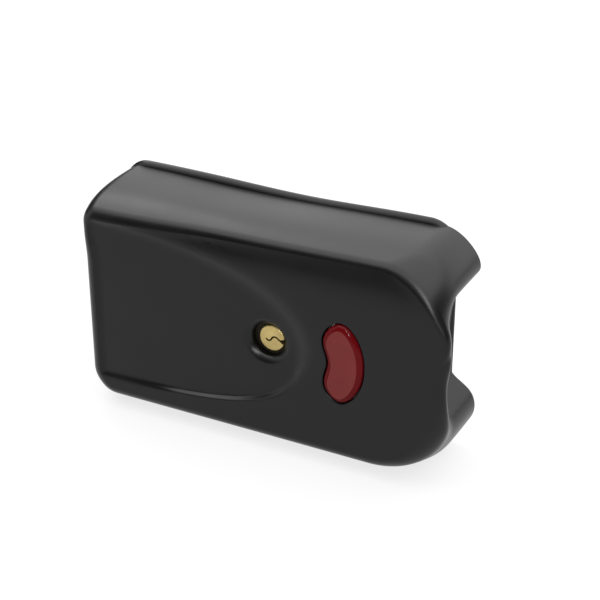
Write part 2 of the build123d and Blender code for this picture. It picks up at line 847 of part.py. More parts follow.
def make_button_carrier():
    """Black carrier: a plate in the cap's pocket, two retaining flanges and two stems."""
    plate = button_block(button_rear_y, button_rear_y - 1.8, -1.5)
    flange_rear = button_rear_y + button_flange_thickness
    flange = button_block(flange_rear, button_rear_y, button_flange_grow)
    half = case_inner_z + case_sheet + 0.6
    reach = 2 * button_half_length
    middle = block(button_x - reach, button_x + reach, -cover_depth, flange_rear + 1, -half, half)
    lever_side = block(button_x - reach, flange_clear_x, -cover_depth, flange_rear + 1, 0, reach)
    stems = rod_y(push_stem_x, push_stem_z, button_rear_y, push_stem_tip_y, stem_radius)
    stems = stems + rod_y(guide_stem_x, guide_stem_z, button_rear_y, push_stem_tip_y + 0.9, stem_radius)
    return plate + (flange - middle - lever_side) + stems


def make_button_springs():
    """Two return springs round the stems, from the flanges to the guide tabs."""
    start = button_rear_y + button_flange_thickness
    length = guide_tab_y - guide_tab_thickness - start
    made = []
    for x, z in ((push_stem_x, push_stem_z), (guide_stem_x, guide_stem_z)):
        coil = coil_spring(stem_radius + 1.1, length - 0.1, 4, 0.7)
        made.append(Pos(x, start + 0.05, z) * Rot(-90, 0, 0) * coil)
    return Compound(children=made)


def make_yoke():
    """Solenoid yoke: a strap on the back plate with an end wall at each end."""
    rear = -plate_thickness
    front = solenoid_y - coil_radius
    low = solenoid_z - coil_radius
    high = solenoid_z + coil_radius
    strap = block(solenoid_left, solenoid_right, rear - yoke_sheet, rear, low, high)
    left_wall = block(solenoid_left, solenoid_left + yoke_sheet, front, rear, low, high)
    right_wall = block(solenoid_right - yoke_sheet, solenoid_right, front, rear, low, high)
    yoke = strap + left_wall + right_wall
    hole = rod_x(solenoid_y, solenoid_z, solenoid_right - 3, solenoid_right + 1, plunger_radius + plunger_gap)
    return yoke - hole


def bobbin_span():
    return solenoid_left + yoke_sheet, solenoid_right - yoke_sheet


def make_bobbin():
    left, right = bobbin_span()
    bore = plunger_radius + plunger_gap
    body = rod_x(solenoid_y, solenoid_z, left, right, bore + bobbin_wall)
    rim = coil_radius - 0.4
    body = body + rod_x(solenoid_y, solenoid_z, left, left + 1.5, rim)
    body = body + rod_x(solenoid_y, solenoid_z, right - 1.5, right, rim)
    return body - rod_x(solenoid_y, solenoid_z, left - 1, right + 1, bore)


def make_coil():
    left, right = bobbin_span()
    inner = plunger_radius + plunger_gap + bobbin_wall
    winding = rod_x(solenoid_y, solenoid_z, left + 1.5, right - 1.5, coil_radius - 1.0)
    return winding - rod_x(solenoid_y, solenoid_z, left, right, inner)


def make_core():
    left = bobbin_span()[0]
    return rod_x(solenoid_y, solenoid_z, left, left + core_length, plunger_radius + plunger_gap - 0.05)


def make_plunger():
    left = bobbin_span()[0] + core_length + 5.5
    body = rod_x(solenoid_y, solenoid_z, left, clevis_x, plunger_radius)
    return chamfer(body.faces().sort_by(Axis.X)[0].edges(), 0.8)


def make_plunger_spring():
    start = solenoid_right
    coil = coil_spring(plunger_radius + 1.2, release_bar_x - start - 0.1, 4, 0.9)
    return Pos(start + 0.05, solenoid_y, solenoid_z) * Rot(0, 90, 0) * coil


def make_release_bar():
    """Bent strip on the plunger. Its tab hangs where the turning cam can push it."""
    plate = block(release_bar_x, clevis_x, solenoid_y - 6.5, -9.5, 12.3, solenoid_z + 6)
    plate = plate - rod_x(solenoid_y, solenoid_z, release_bar_x - 1, clevis_x + 1, plunger_radius + fixed_gap)
    bar = block(tab_left(), clevis_x, -13.0, -9.5, 12.3, 13.8)
    tab = block(tab_left(), tab_left() + 1.5, -13.0, -9.5, 6.5, 13.8)
    return plate + bar + tab


def tab_left():
    return cylinder_x - 10.5


def make_clevis():
    """Fork on the plunger's end, round the solenoid lever."""
    half = solenoid_lever_thickness / 2 + 0.3
    base = block(clevis_x, clevis_x + 4, solenoid_y - 3.5, solenoid_y + 3.5,
                 solenoid_z - half - clevis_sheet, solenoid_z + half + clevis_sheet)
    upper = block(clevis_x, clevis_end_x, solenoid_y - 3.5, solenoid_y + 3.5,
                  solenoid_z + half, solenoid_z + half + clevis_sheet)
    lower = block(clevis_x, clevis_end_x, solenoid_y - 3.5, solenoid_y + 3.5,
                  solenoid_z - half - clevis_sheet, solenoid_z - half)
    fork = base + upper + lower
    fork = fillet(fork.edges().filter_by(Axis.Z).sort_by(Axis.X)[-4:], 2.0)
    return fork - rod_z(pawl_pivot_x, solenoid_y, 0, 60, clevis_pin_radius + fixed_gap)


def make_clevis_pin():
    half = solenoid_lever_thickness / 2 + 0.3 + clevis_sheet
    pin = rod_z(pawl_pivot_x, solenoid_y, solenoid_z - half - 1, solenoid_z + half, clevis_pin_radius)
    return pin + rod_z(pawl_pivot_x, solenoid_y, solenoid_z + half, solenoid_z + half + 1, 2.4)


def make_cylinder_body():
    body = rod_y(cylinder_x, cylinder_z, cylinder_front_y, cylinder_rear_y, cylinder_radius)
    body = chamfer(body.faces().sort_by(Axis.Y)[0].edges(), 0.5)
    step = rod_y(cylinder_x, cylinder_z, carrier_y, cylinder_rear_y + 1, cylinder_radius + 1)
    step = step - rod_y(cylinder_x, cylinder_z, carrier_y - 1, cylinder_rear_y + 2, cylinder_radius - 1.5)
    body = body - step
    return body - rod_y(cylinder_x, cylinder_z, -60, 0, plug_radius + running_gap)


def make_plug():
    """Turning plug with a zigzag keyway and a round tail behind."""
    rear = cylinder_rear_y
    plug = rod_y(cylinder_x, cylinder_z, plug_front_y, rear, plug_radius)
    plug = chamfer(plug.faces().sort_by(Axis.Y)[0].edges(), 0.4)
    plug = plug + rod_y(cylinder_x, cylinder_z, rear, rear + cam_thickness + 1.6, tail_radius)
    line = [(-3.2, 0.5), (-1.2, -0.5), (0.6, 0.6), (2.4, -0.5), (plug_radius + 1, -0.3)]
    half = keyway_width / 2
    upper = [(x, z + half) for x, z in line]
    lower = [(x, z - half) for x, z in reversed(line)]
    slot = make_face(Polyline(*upper, *lower, close=True))
    slot = front_plane(plug_front_y + keyway_depth) * Pos(cylinder_x, cylinder_z) * slot
    return plug - extrude(slot, keyway_depth + 1)


def make_cam():
    """Cam on the plug's tail. Its lobe hangs down while the key is out."""
    rear = cylinder_rear_y + 0.3
    lobe = make_hull(
        (Circle(tail_radius + 2.2)).edges()
        + (Pos(0, -cam_reach + cam_width / 2 - 1.2) * Circle(cam_width / 2 - 1.2)).edges()
    )
    lobe = lobe - Circle(tail_radius + fixed_gap)
    return extrude(front_plane(rear + cam_thickness) * Pos(cylinder_x, cylinder_z) * lobe, cam_thickness)


def make_cam_clip():
    start = cylinder_rear_y + 0.3 + cam_thickness
    ring = rod_y(cylinder_x, cylinder_z, start, start + 0.8, tail_radius + 1.6)
    return ring - rod_y(cylinder_x, cylinder_z, start - 1, start + 2, tail_radius + fixed_gap)


def carrier_legs():
    half = cylinder_radius + 3.5
    return cylinder_x - half, cylinder_x + half


def make_carrier():
    """Bracket that carries the cylinder on the back plate."""
    left, right = carrier_legs()
    sheet = carrier_thickness
    rear = -plate_thickness
    low = carrier_centre_z - carrier_half_height
    high = carrier_centre_z + carrier_half_height
    front = block(left - sheet, right + sheet, carrier_y, carrier_y + sheet, low, high)
    ring = rod_y(cylinder_x, cylinder_z, carrier_y, carrier_y + sheet, cylinder_radius + 1.0)
    legs = block(left - sheet, left, carrier_y, rear, low, high)
    legs = legs + block(right, right + sheet, carrier_y, rear, low, high)
    feet = block(left - carrier_foot_left, left, rear - sheet, rear, low, high)
    feet = feet + block(right, right + carrier_foot_right, rear - sheet, rear, low, high)
    body = front + ring + legs + feet
    for x, z in carrier_screw_spots():
        body = body - rod_y(x, z, -5, 0, 1.6)
    return body - rod_y(cylinder_x, cylinder_z, carrier_y - 1, carrier_y + 3, cylinder_radius - 1.45)


def carrier_screw_spots():
    left, right = carrier_legs()
    return [
        (left - carrier_foot_left / 2 - 1.0, carrier_centre_z),
        (right + carrier_foot_right / 2 + 0.8, carrier_centre_z),
    ]


def make_carrier_screws():
    made = []
    for x, z in carrier_screw_spots():
        top = -plate_thickness - carrier_thickness
        head = rod_y(x, z, top - 1.6, top, 2.8)
        slot = block(x - 3, x + 3, top - 3, top - 1.0, z - 0.4, z + 0.4)
        made.append(head - slot + rod_y(x, z, top, -plate_thickness, 1.5))
    return Compound(children=made)


def make_terminal_block():
    """Screw terminal block on the back plate, with wire mouths at its lower side."""
    x0 = terminal_x - terminal_length / 2
    z0 = terminal_z - terminal_height / 2
    rear = -plate_thickness
    body = block(x0, x0 + terminal_length, rear - terminal_depth, rear, z0, z0 + terminal_height)
    body = fillet(body.edges().filter_by(Axis.X).sort_by(Axis.Y)[:2], 1.0)
    for x in terminal_spots():
        body = body - rod_y(x, terminal_z, rear - terminal_depth - 1, rear - terminal_depth + 6, 2.6)
        body = body - block(x - 2, x + 2, rear - 9, rear - 4, z0 - 1, z0 + 4)
    return body


def terminal_spots():
    pitch = terminal_length / terminal_ways
    return [terminal_x + pitch * (way - (terminal_ways - 1) / 2) for way in range(terminal_ways)]


def make_terminal_screws():
    made = []
    seat = -plate_thickness - terminal_depth + 6
    for x in terminal_spots():
        screw = rod_y(x, terminal_z, seat - 4.0, seat, 2.3)
        slot = block(x - 3, x + 3, seat - 5, seat - 3.2, terminal_z - 0.35, terminal_z + 0.35)
        made.append(screw - slot)
    return Compound(children=made)


def make_grommet():
    """Rubber grommet in the cable hole of the back plate."""
    x, z = cable_hole_x, cable_hole_z
    body = rod_y(x, z, -plate_thickness, 0, cable_hole_radius - 0.05)
    body = body + rod_y(x, z, -plate_thickness - 2.2, -plate_thickness, cable_hole_radius + 2)
    body = body - rod_y(x, z, -10, 1, cable_hole_radius - 2.2)
    return fillet(body.faces().sort_by(Axis.Y)[0].edges().sort_by(SortBy.RADIUS)[-1], 0.8)


save("cover", make_cover())
save("back_plate", make_back_plate())
save("cover_screws", make_cover_screws())
save("threaded_inserts", make_inserts())
save("upper_case_plate", make_case_plate(1))
save("lower_case_plate", make_case_plate(-1))
save("case_rivets", make_rivets())
save("case_posts", make_posts())
save("stop_buffer", make_stop_buffer())
save("claw", make_claw())
save("claw_bush", make_claw_bush())
save("claw_pin", make_claw_pin())
save("claw_washers", make_claw_washers())
save("claw_spring", make_claw_spring())
save("pawl", make_pawl())
save("pawl_spindle", make_spindle())
save("spindle_clip", make_spindle_clip())
save("spindle_bushes", make_spindle_bushes())
save("button_lever", make_button_lever())
save("lever_sleeve", make_lever_sleeve())
save("solenoid_lever", make_solenoid_lever())
save("pawl_spring", make_pawl_spring())
save("button_cap", make_button_cap())
save("button_carrier", make_button_carrier())
save("button_springs", make_button_springs())
save("solenoid_yoke", make_yoke())
save("solenoid_bobbin", make_bobbin())
save("solenoid_coil", make_coil())
save("solenoid_core", make_core())
save("plunger", make_plunger())
save("plunger_spring", make_plunger_spring())
save("key_release_bar", make_release_bar())
save("plunger_clevis", make_clevis())
save("clevis_pin", make_clevis_pin())
save("cylinder_body", make_cylinder_body())
save("key_plug", make_plug())
save("cylinder_cam", make_cam())
save("cam_clip", make_cam_clip())
save("cylinder_carrier", make_carrier())
save("carrier_screws", make_carrier_screws())
save("terminal_block", make_terminal_block())
save("terminal_screws", make_terminal_screws())
save("cable_grommet", make_grommet())
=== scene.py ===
import bpy
import json
from itertools import groupby
from math import cos, pi, radians, sin
import numpy as np
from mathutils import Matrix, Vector
from mathutils.geometry import delaunay_2d_cdt
from mathutils.kdtree import KDTree


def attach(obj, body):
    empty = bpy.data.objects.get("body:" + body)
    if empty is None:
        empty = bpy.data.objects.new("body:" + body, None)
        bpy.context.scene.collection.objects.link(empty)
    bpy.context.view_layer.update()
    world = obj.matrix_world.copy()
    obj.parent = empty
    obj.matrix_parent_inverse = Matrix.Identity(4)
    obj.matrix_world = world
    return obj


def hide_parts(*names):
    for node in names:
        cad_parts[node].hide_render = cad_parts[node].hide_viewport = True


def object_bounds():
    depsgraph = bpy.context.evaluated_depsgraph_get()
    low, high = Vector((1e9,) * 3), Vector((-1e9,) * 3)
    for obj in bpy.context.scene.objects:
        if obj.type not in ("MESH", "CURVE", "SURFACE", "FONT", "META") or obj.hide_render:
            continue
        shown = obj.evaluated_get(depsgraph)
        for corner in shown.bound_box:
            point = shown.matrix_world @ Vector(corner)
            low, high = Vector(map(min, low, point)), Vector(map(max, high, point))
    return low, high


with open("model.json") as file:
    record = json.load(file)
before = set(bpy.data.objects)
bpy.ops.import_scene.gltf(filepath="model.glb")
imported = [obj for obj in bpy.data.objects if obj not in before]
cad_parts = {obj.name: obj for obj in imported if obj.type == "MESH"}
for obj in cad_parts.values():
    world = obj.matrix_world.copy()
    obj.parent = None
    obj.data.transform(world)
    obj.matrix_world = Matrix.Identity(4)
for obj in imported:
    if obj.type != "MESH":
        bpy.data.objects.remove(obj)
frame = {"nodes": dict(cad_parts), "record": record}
nodes = frame["nodes"]
cad_low, cad_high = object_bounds()
scene = bpy.context.scene
MM = 0.001

# Sizes in millimetres, most of them those of the part's source. The front's edges and corners, the
# lug tips, the rim, the button and its bevel follow the photograph more closely.
DEPTH = 43.0
WALL, LEAST_WALL, INNER_SUNK_MOST = 3.0, 1.0, 2.8
REAR_CHAMFER = 0.3
DRAFT_LEFT, DRAFT_HEIGHT = 2.4, 4.1
WALL_CURL = 3.3
FRONT_LEFT, FRONT_RIGHT, FRONT_HALF = -82.2, 86.3, 43.7
EDGE_ROUND, LOWER_ROUND, SIDE_ROUND, LEFT_ROUND = 3.3, 4.0, 7.4, 5.0
UPPER_LEFT_RADIUS = 6.5
LOWER_LEFT_FRONT, LOWER_LEFT_REAR = 12.0, 7.0
REAR_CORNER_X = 60.7
SHOULDER_X, SHOULDER_DROP, TIP_Z = 71.3, 4.0, 31.2
RECESS_X, RECESS_FOOT, RECESS_HALF, RECESS_FLOOR_Y = 67.2, 1.4, 17.5, -26.0
# Latch end above and below: the front corner's radius, the lug tip's x and how steep its flank is
UPPER_NOSE, LOWER_NOSE = (37.0, 77.9, 0.25), (38.0, 79.2, 0.8)
NOSE_ANGLES = (0, 32, 60, 80)
WAIST = 1.4
SCREW_XS, SCREW_Y, SCREW_HEAD, SCREW_SHANK = (-50.0, 40.0), -11.0, 4.2, 2.3
SEAT_Z, BOSS_TOP_Z, BOSS_FOOT_Z, BOSS_RADIUS = -43.0, -41.4, -45.6, 6.0
SCREW_HOLE_ZS = (-52.0, -40.0)
RIM_PROUD, RIM_DEPTH, RIM_RIGHT, RIM_RADIUS = 2.1, 2.0, 68.6, 12.0
SLOT_HALF, SLOT_FRONT_Y, SLOT_REAR_Y = 6.5, -34.8, -3.2
SLOT_LEFT_X, SLOT_RIGHT_X = RECESS_X - 8, 95.0
SCOOP_LEFT, SCOOP_TIP_X, SCOOP_TOP_Z, SCOOP_BOTTOM_Z = -80.0, 21.4, 38.6, -35.0
SCOOP_DEPTH_LEFT, SCOOP_DEPTH_TIP = 1.0, 2.5
CYLINDER_X, CYLINDER_Z = 4.8, 0.8
OPENING_X, OPENING_Z = 3.7, 0.2
PLUG_RADIUS, PLUG_FRONT_Y, PLUG_REAR_Y = 5.75, -38.2, -13.5
TAIL_RADIUS, TAIL_LENGTH = 3.5, 4.6
BUTTON_X, BUTTON_Z = 38.9, -0.6
BUTTON_HALF_WIDTH, BUTTON_HALF_LENGTH = 8.7, 17.6
BUTTON_FRONT_Y, BUTTON_REAR_Y = -44.3, -39.8
BEVEL_WIDTH, BEVEL_DEPTH, BEVEL_ANGLE, BEVEL_STEPS = 2.3, 2.2, radians(72), 10

# Fine form that the solids leave out: the soft crown of the front's upper part, the bumps of the
# latch end's front edge (height, middle and width along z), and how much lower the top front edge
# lies towards the left (x and fall)
CROWN_START_Z, CROWN_RATE = 26.0, 0.0120
CROWN_LEFT, CROWN_FULL = -75.0, -15.0
END_BUMPS = [(2.4, 10, 9), (1.2, -6, 8), (-0.9, 28, 6), (-0.6, -18, 6)]
TOP_FALL = [(-84, 2.4), (-50, 2.4), (-20, 1.9), (10, 1.2), (45, 0.0)]
TOP_FALL_POWER = 8

# Points on the long sides, between two points of the latch end, on the left side and on its corners
TOP_N, NOSE_N, SIDE_N, CORNER_N = 96, 16, 36, 14
ROUND_STEPS = 12
# Edges sharper than this stay sharp: on the new pieces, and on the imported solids
CREASE, SOLID_CREASE = radians(35), radians(28)

# Camera at the photograph's angle: degrees, pixels for a 600 pixel wide picture, millimetres
AZ, EL, F_PX, DIST = 27.37, 27.0, 1503.65, 613.41
TARGET = Vector((9.2, -22.0, 11.84)) * MM


def make_camera():
    a, e = radians(AZ), radians(EL)
    back = Vector((sin(a) * cos(e), -cos(a) * cos(e), sin(e)))
    cam_data = bpy.data.cameras.new("camera")
    cam_data.sensor_width = 36.0
    cam_data.lens = 36.0 * F_PX / 600.0
    cam_data.clip_start = 0.01
    cam_data.clip_end = 20.0
    cam = bpy.data.objects.new("camera", cam_data)
    scene.collection.objects.link(cam)
    cam.location = TARGET + back * DIST * MM
    cam.rotation_euler = (-back).to_track_quat("-Z", "Y").to_euler()
    scene.camera = cam


# Curve helpers
def cubic(points, counts, start=None, end=None, closed=False):
    """Smooth curve through points, by chord length, sampled count times on each run."""
    p = np.array(points, float)
    n = len(p)
    if closed:
        reps = 3
        q = np.vstack([p[-reps:], p, p[:reps + 1]])
        inner = cubic(q, counts)
        return inner[reps * counts: (reps + n) * counts]
    h = np.linalg.norm(np.diff(p, axis=0), axis=1)
    m = np.zeros((n, n))
    r = np.zeros((n, 2))
    for i in range(1, n - 1):
        m[i, i - 1] = h[i]
        m[i, i] = 2 * (h[i - 1] + h[i])
        m[i, i + 1] = h[i - 1]
        r[i] = 3 * (h[i] * (p[i] - p[i - 1]) / h[i - 1] + h[i - 1] * (p[i + 1] - p[i]) / h[i])
    m[0, 0] = m[-1, -1] = 1
    r[0] = start if start is not None else (p[1] - p[0]) / h[0]
    r[-1] = end if end is not None else (p[-1] - p[-2]) / h[-1]
    d = np.linalg.solve(m, r)
    t = (np.arange(counts) / counts)[:, None]
    out = []
    for i in range(n - 1):
        a = (2 * t**3 - 3 * t**2 + 1) * p[i] + (t**3 - 2 * t**2 + t) * h[i] * d[i]
        b = (-2 * t**3 + 3 * t**2) * p[i + 1] + (t**3 - t**2) * h[i] * d[i + 1]
        out.append(a + b)
    out.append(p[-1:])
    return np.vstack(out)


def quarter_turned(along):
    """Unit vectors a quarter turn to the left of the given ones."""
    along = along / np.linalg.norm(along, axis=1)[:, None]
    return np.stack([-along[:, 1], along[:, 0]], axis=1)


def normals_of(loop):
    """Outward normals of a closed loop that runs clockwise in the view from the front."""
    return quarter_turned(np.roll(loop, -1, axis=0) - np.roll(loop, 1, axis=0))


def line_normals(line):
    """Normals of an open line, to its left."""
    return quarter_turned(np.gradient(line, axis=0))


def moved_in(loop, inset):
    """Closed loop moved inwards, by one amount or by one for each point."""
    return loop - normals_of(loop) * np.reshape(inset, (-1, 1))


def at_depth(flat, y):
    """3-D points from flat ones, at one depth or at one for each point."""
    return np.stack([flat[:, 0], np.broadcast_to(y, len(flat)), flat[:, 1]], axis=1)


def smooth01(t):
    t = np.clip(t, 0.0, 1.0)
    return t * t * (3 - 2 * t)


def ramp(value, start, end):
    """Smooth rise from 0 at start to 1 at end."""
    return smooth01((value - start) / (end - start))


def table(value, rows):
    """Straight-line look-up in rows of place and result."""
    return np.interp(value, *zip(*rows))


def mix(a, b, share):
    return a + (b - a) * share


def arc(centre_x, centre_z, radius, start, end, count):
    """Points on an arc, by the angle from the top, clockwise."""
    a = np.radians(np.linspace(start, end, count))
    return np.stack([centre_x + radius * np.sin(a), centre_z + radius * np.cos(a)], axis=1)


def at_x(x, start, end, count):
    """Points on an upright line."""
    return np.stack([np.full(count, x), np.linspace(start, end, count)], axis=1)


def level_circle(x, y, z, radius):
    """Circle of 48 points round an upright axis."""
    a = np.radians(np.arange(0, 360, 7.5))
    return np.stack([x + radius * np.cos(a), y + radius * np.sin(a), np.full(len(a), z)], axis=1)


def nearest(points, spots):
    """Index and distance of the nearest of the points for each spot, in the plane."""
    tree = KDTree(len(points))
    for i, p in enumerate(points):
        tree.insert((p[0], p[1], 0), i)
    tree.balance()
    found = [tree.find((s[0], s[1], 0)) for s in spots]
    return np.array([f[1] for f in found]), np.array([f[2] for f in found])


def inside(px, pz, loop):
    """Even-odd test of many points against a closed loop."""
    hit = np.zeros(len(px), bool)
    for (a, b), (c, d) in zip(loop, np.roll(loop, -1, axis=0)):
        if b != d:
            hit ^= ((b > pz) != (d > pz)) & (px < (c - a) * (pz - b) / (d - b) + a)
    return hit


# Mesh helpers: bodies are made as points and faces
def bands(rows, n, base=0):
    """Quads between closed rows of n points each."""
    return [(base + k * n + i, base + k * n + (i + 1) % n,
             base + (k + 1) * n + (i + 1) % n, base + (k + 1) * n + i)
            for k in range(rows - 1) for i in range(n)]


def lofted(loops, capped=True):
    """Skin over 3-D loops of equal count in millimetres."""
    n = len(loops[0])
    faces = bands(len(loops), n)
    if capped:
        last = (len(loops) - 1) * n
        faces += [tuple(range(n - 1, -1, -1)), tuple(range(last, last + n))]
    return np.vstack(loops) * MM, faces


def add_line(pts, cons, line, closed=True):
    """Add the points of a line to a flat net, with the edges along it."""
    start, count = len(pts), len(line)
    pts.extend(tuple(p) for p in line)
    cons.extend((start + i, start + (i + 1) % count) for i in range(count if closed else count - 1))


def triangulated(pts, cons):
    """Points, triangles and each point's sources, with the given edges kept."""
    co, _, tris, source, _, _ = delaunay_2d_cdt([Vector(p) for p in pts], cons, [], 0, 1e-5)
    return np.array([tuple(c) for c in co]), np.array([t for t in tris if len(t) == 3]), source


def facing_front(verts, a, b, c):
    """The triangle, wound so that it faces the front."""
    across = np.cross(verts[b] - verts[a], verts[c] - verts[a])
    return (a, c, b) if across[1] > 0 else (a, b, c)


def border_of(faces):
    """Directed edges without a partner."""
    seen = {(a, b) for f in faces for a, b in zip(f, f[1:] + f[:1])}
    return [(a, b) for a, b in seen if (b, a) not in seen]


# Outline of the cover at a depth
def curled(rear, front, y):
    """Size at a depth: the wall curls from its rear value to its front value."""
    return mix(rear, front, max(0.0, -y / DEPTH) ** WALL_CURL)


def nose_share(y):
    """How far the latch end has taken the front's form. It starts softly at the recess floor."""
    soft = 4.0
    ahead = RECESS_FLOOR_Y - y
    full = RECESS_FLOOR_Y + DEPTH
    if ahead < -soft:
        return 0.0
    if ahead < soft:
        return (ahead + soft) ** 2 / (4 * soft) / full
    return ahead / full


def nose_half(y, radius, tip_x, flank):
    """Half of the latch end at a depth, from the long side to the middle, z counted from there."""
    cx, cz = FRONT_RIGHT - radius, FRONT_HALF - radius
    front = [(cx + radius * sin(radians(a)), cz + radius * cos(radians(a))) for a in NOSE_ANGLES]
    front += [(FRONT_RIGHT, cz * 0.7), (FRONT_RIGHT, 0)]
    foot_x = RECESS_X + RECESS_FOOT
    rear_half = FRONT_HALF + DRAFT_HEIGHT
    rear = [(REAR_CORNER_X, rear_half), (SHOULDER_X, rear_half - SHOULDER_DROP), (tip_x, TIP_Z),
            (mix(foot_x, tip_x, flank), mix(RECESS_HALF, TIP_Z, 0.5)), (foot_x, RECESS_HALF),
            (RECESS_X, 0)]
    share = nose_share(y)
    pts = [(mix(a[0], b[0], share), mix(a[1], b[1], share)) for a, b in zip(rear, front)]
    drop = pts[0][1] - curled(rear_half, FRONT_HALF, y)
    fade = 20
    return [(x, z - drop * max(0.0, min(1.0, (z - RECESS_HALF) / fade))) for x, z in pts]


def end_wave(z):
    """The soft bulge in the middle of the latch end's front edge."""
    return sum(height * np.exp(-((z - middle) / width) ** 2) for height, middle, width in END_BUMPS)


def outline(y):
    """Closed outline, clockwise from the top's left end, with the same count at every depth."""
    share = -y / DEPTH
    left = curled(FRONT_LEFT - DRAFT_LEFT, FRONT_LEFT, y)
    half = curled(FRONT_HALF + DRAFT_HEIGHT, FRONT_HALF, y)
    waist = mix(WAIST, 0, share)
    high = UPPER_LEFT_RADIUS
    low = mix(LOWER_LEFT_REAR, LOWER_LEFT_FRONT, share)
    level = (1, 0)
    upper, lower = nose_half(y, *UPPER_NOSE), nose_half(y, *LOWER_NOSE)
    nose = upper + [(x, -z) for x, z in reversed(lower[:-1])]
    top_middle = ((left + upper[0][0]) / 2, half - waist)
    top = cubic([(left + high, half), top_middle, upper[0]], TOP_N // 2, level, level)
    end = cubic(nose, NOSE_N, level, (-1, 0))
    end[:, 0] += nose_share(y) * end_wave(end[:, 1])
    low_middle = ((left + lower[0][0]) / 2, -half + waist)
    low_right = (lower[0][0], -lower[0][1])
    bottom = cubic([(left + low, -half), low_middle, low_right], TOP_N // 2, level, level)
    lower_turn = arc(left + low, -half + low, low, 180, 270, CORNER_N + 1)
    side = at_x(left, -half + low, half - high, SIDE_N + 1)
    upper_turn = arc(left + high, half - high, high, 270, 360, CORNER_N + 1)
    runs = [top, end, np.flipud(bottom), lower_turn, side, upper_turn]
    loop = np.vstack([run[:-1] for run in runs])
    loop[:, 1] -= share**TOP_FALL_POWER * table(loop[:, 0], TOP_FALL) * ramp(loop[:, 1], 28, 40)
    return loop


def crown(x, z):
    """Fall of the front towards its top edge, fading out to the left."""
    return ramp(x, CROWN_LEFT, CROWN_FULL) * CROWN_RATE * np.maximum(0.0, z - CROWN_START_Z) ** 2


OUTLINE_STEPS = np.linspace(-DEPTH, 0.0, 44)
OUTLINES = np.array([outline(y) for y in OUTLINE_STEPS])


def outline_at(depths):
    """Outline with its own depth for each point, between the stored ones."""
    place = (depths + DEPTH) / DEPTH * (len(OUTLINE_STEPS) - 1)
    k = np.clip(place.astype(int), 0, len(OUTLINE_STEPS) - 2)
    share = (place - k)[:, None]
    i = np.arange(len(k))
    return OUTLINES[k, i] * (1 - share) + OUTLINES[k + 1, i] * share


# The edge round has to end in front of the claw's slot
ROUND_ROOM = DEPTH + SLOT_FRONT_Y - 0.2


def round_radius():
    """Radius of the front's edge round at each point of the outline, and its width over depth."""
    x, z = OUTLINES[0][:, 0], OUTLINES[0][:, 1]
    # Both ends take over from the long sides by x, and only below their upper corners by z
    latch_end = ramp(x, 62, 82) * ramp(z, 24, 10)
    left_end = ramp(x, -74, -80) * ramp(z, 32, 18)
    radius = mix(EDGE_ROUND, LOWER_ROUND, ramp(z, 10, -30))
    radius = mix(mix(radius, SIDE_ROUND, latch_end), LEFT_ROUND, left_end)
    return np.minimum(radius, ROUND_ROOM - crown(x, z - 0.8 * EDGE_ROUND)), 0.9 + 0.6 * latch_end


RADII, SPREAD = round_radius()


def round_end():
    """Angle at which the edge round meets the crowned front, and its set-back, point by point."""
    front, step = OUTLINES[0], 0.5
    normal = normals_of(front)
    end = front - normal * (SPREAD * RADII)[:, None]
    ahead = end - normal * step
    slope = (crown(end[:, 0], end[:, 1]) - crown(ahead[:, 0], ahead[:, 1])) / step
    angle = pi / 2 - np.arctan(np.maximum(slope, 0))
    end = front - normal * (SPREAD * RADII * (1 - np.cos(angle)))[:, None]
    back = crown(end[:, 0], end[:, 1]) - RADII * (1 - np.sin(angle))
    return angle, np.maximum(back, 0)


ROUND_ANGLE, SET_BACK = round_end()


def ring(y, inset):
    """Ring of the wall at a depth."""
    return at_depth(moved_in(outline(y), inset), y)


def round_ring(turn, inset):
    """Ring of the front's edge round: turn is 0 at the wall and 1 at the front."""
    a = ROUND_ANGLE * turn
    radius = RADII - inset
    depth = -DEPTH + SET_BACK + RADII * (1 - np.sin(a))
    loop = moved_in(outline_at(depth), inset + SPREAD * radius * (1 - np.cos(a)))
    return at_depth(loop, depth + (RADII - radius) * np.sin(a))


# Front face: its depth below the flat front, anywhere
def scoop_rim():
    """The scoop's edge on the front plane, from its upper left end round to its lower left end."""
    width = SCOOP_TIP_X - SCOOP_LEFT
    start = SCOOP_LEFT - 15
    upper = [(0.36, 0.95), (0.65, 0.79), (0.845, 0.57), (0.975, 0.24)]
    lower = [(0.965, 0.35), (0.855, 0.66), (0.66, 0.86), (0.42, 0.95)]
    pts = [(start, SCOOP_TOP_Z)]
    pts += [(SCOOP_LEFT + width * x, SCOOP_TOP_Z * z) for x, z in upper]
    pts += [(SCOOP_TIP_X, -0.02 * width)]
    pts += [(SCOOP_LEFT + width * x, SCOOP_BOTTOM_Z * z) for x, z in lower]
    pts += [(start, SCOOP_BOTTOM_Z)]
    return cubic(pts, 60)


# Width over depth of the scoop's wall: along x on the ledge below, along z elsewhere
LEDGE_FLARE = [(-62, 2.2), (-38, 0.66), (2, 0.6), (14, 1.2)]
SOFT_FLARE = [(-12, 1.3), (-2, 2.6), (14, 3.2)]
# How far the wall's foot and top edge are rounded, on the ledge and elsewhere
LEDGE_SOFTNESS, SOFTNESS = 0.18, 0.46
# The scoop's rim line lies this share of the wall's width away from the wall's foot
WALL_SHIFT = 0.6


def wall_flare(rim):
    """Width of the scoop's wall over its depth: soft above and at the tip, a ledge below."""
    ledge, soft = table(rim[:, 0], LEDGE_FLARE), table(rim[:, 1], SOFT_FLARE)
    return mix(ledge, soft, ramp(rim[:, 1], -26, -12))


def wall_softness(rim):
    """How far the wall's foot and top edge are rounded along the rim."""
    away = np.maximum(ramp(rim[:, 1], -26, -16), ramp(rim[:, 0], -30, -60))
    return mix(LEDGE_SOFTNESS, SOFTNESS, away)


RIM_LINE = scoop_rim()
RIM_NORMALS = line_normals(RIM_LINE)
RIM_FLARES, RIM_SOFTNESS = wall_flare(RIM_LINE), wall_softness(RIM_LINE)


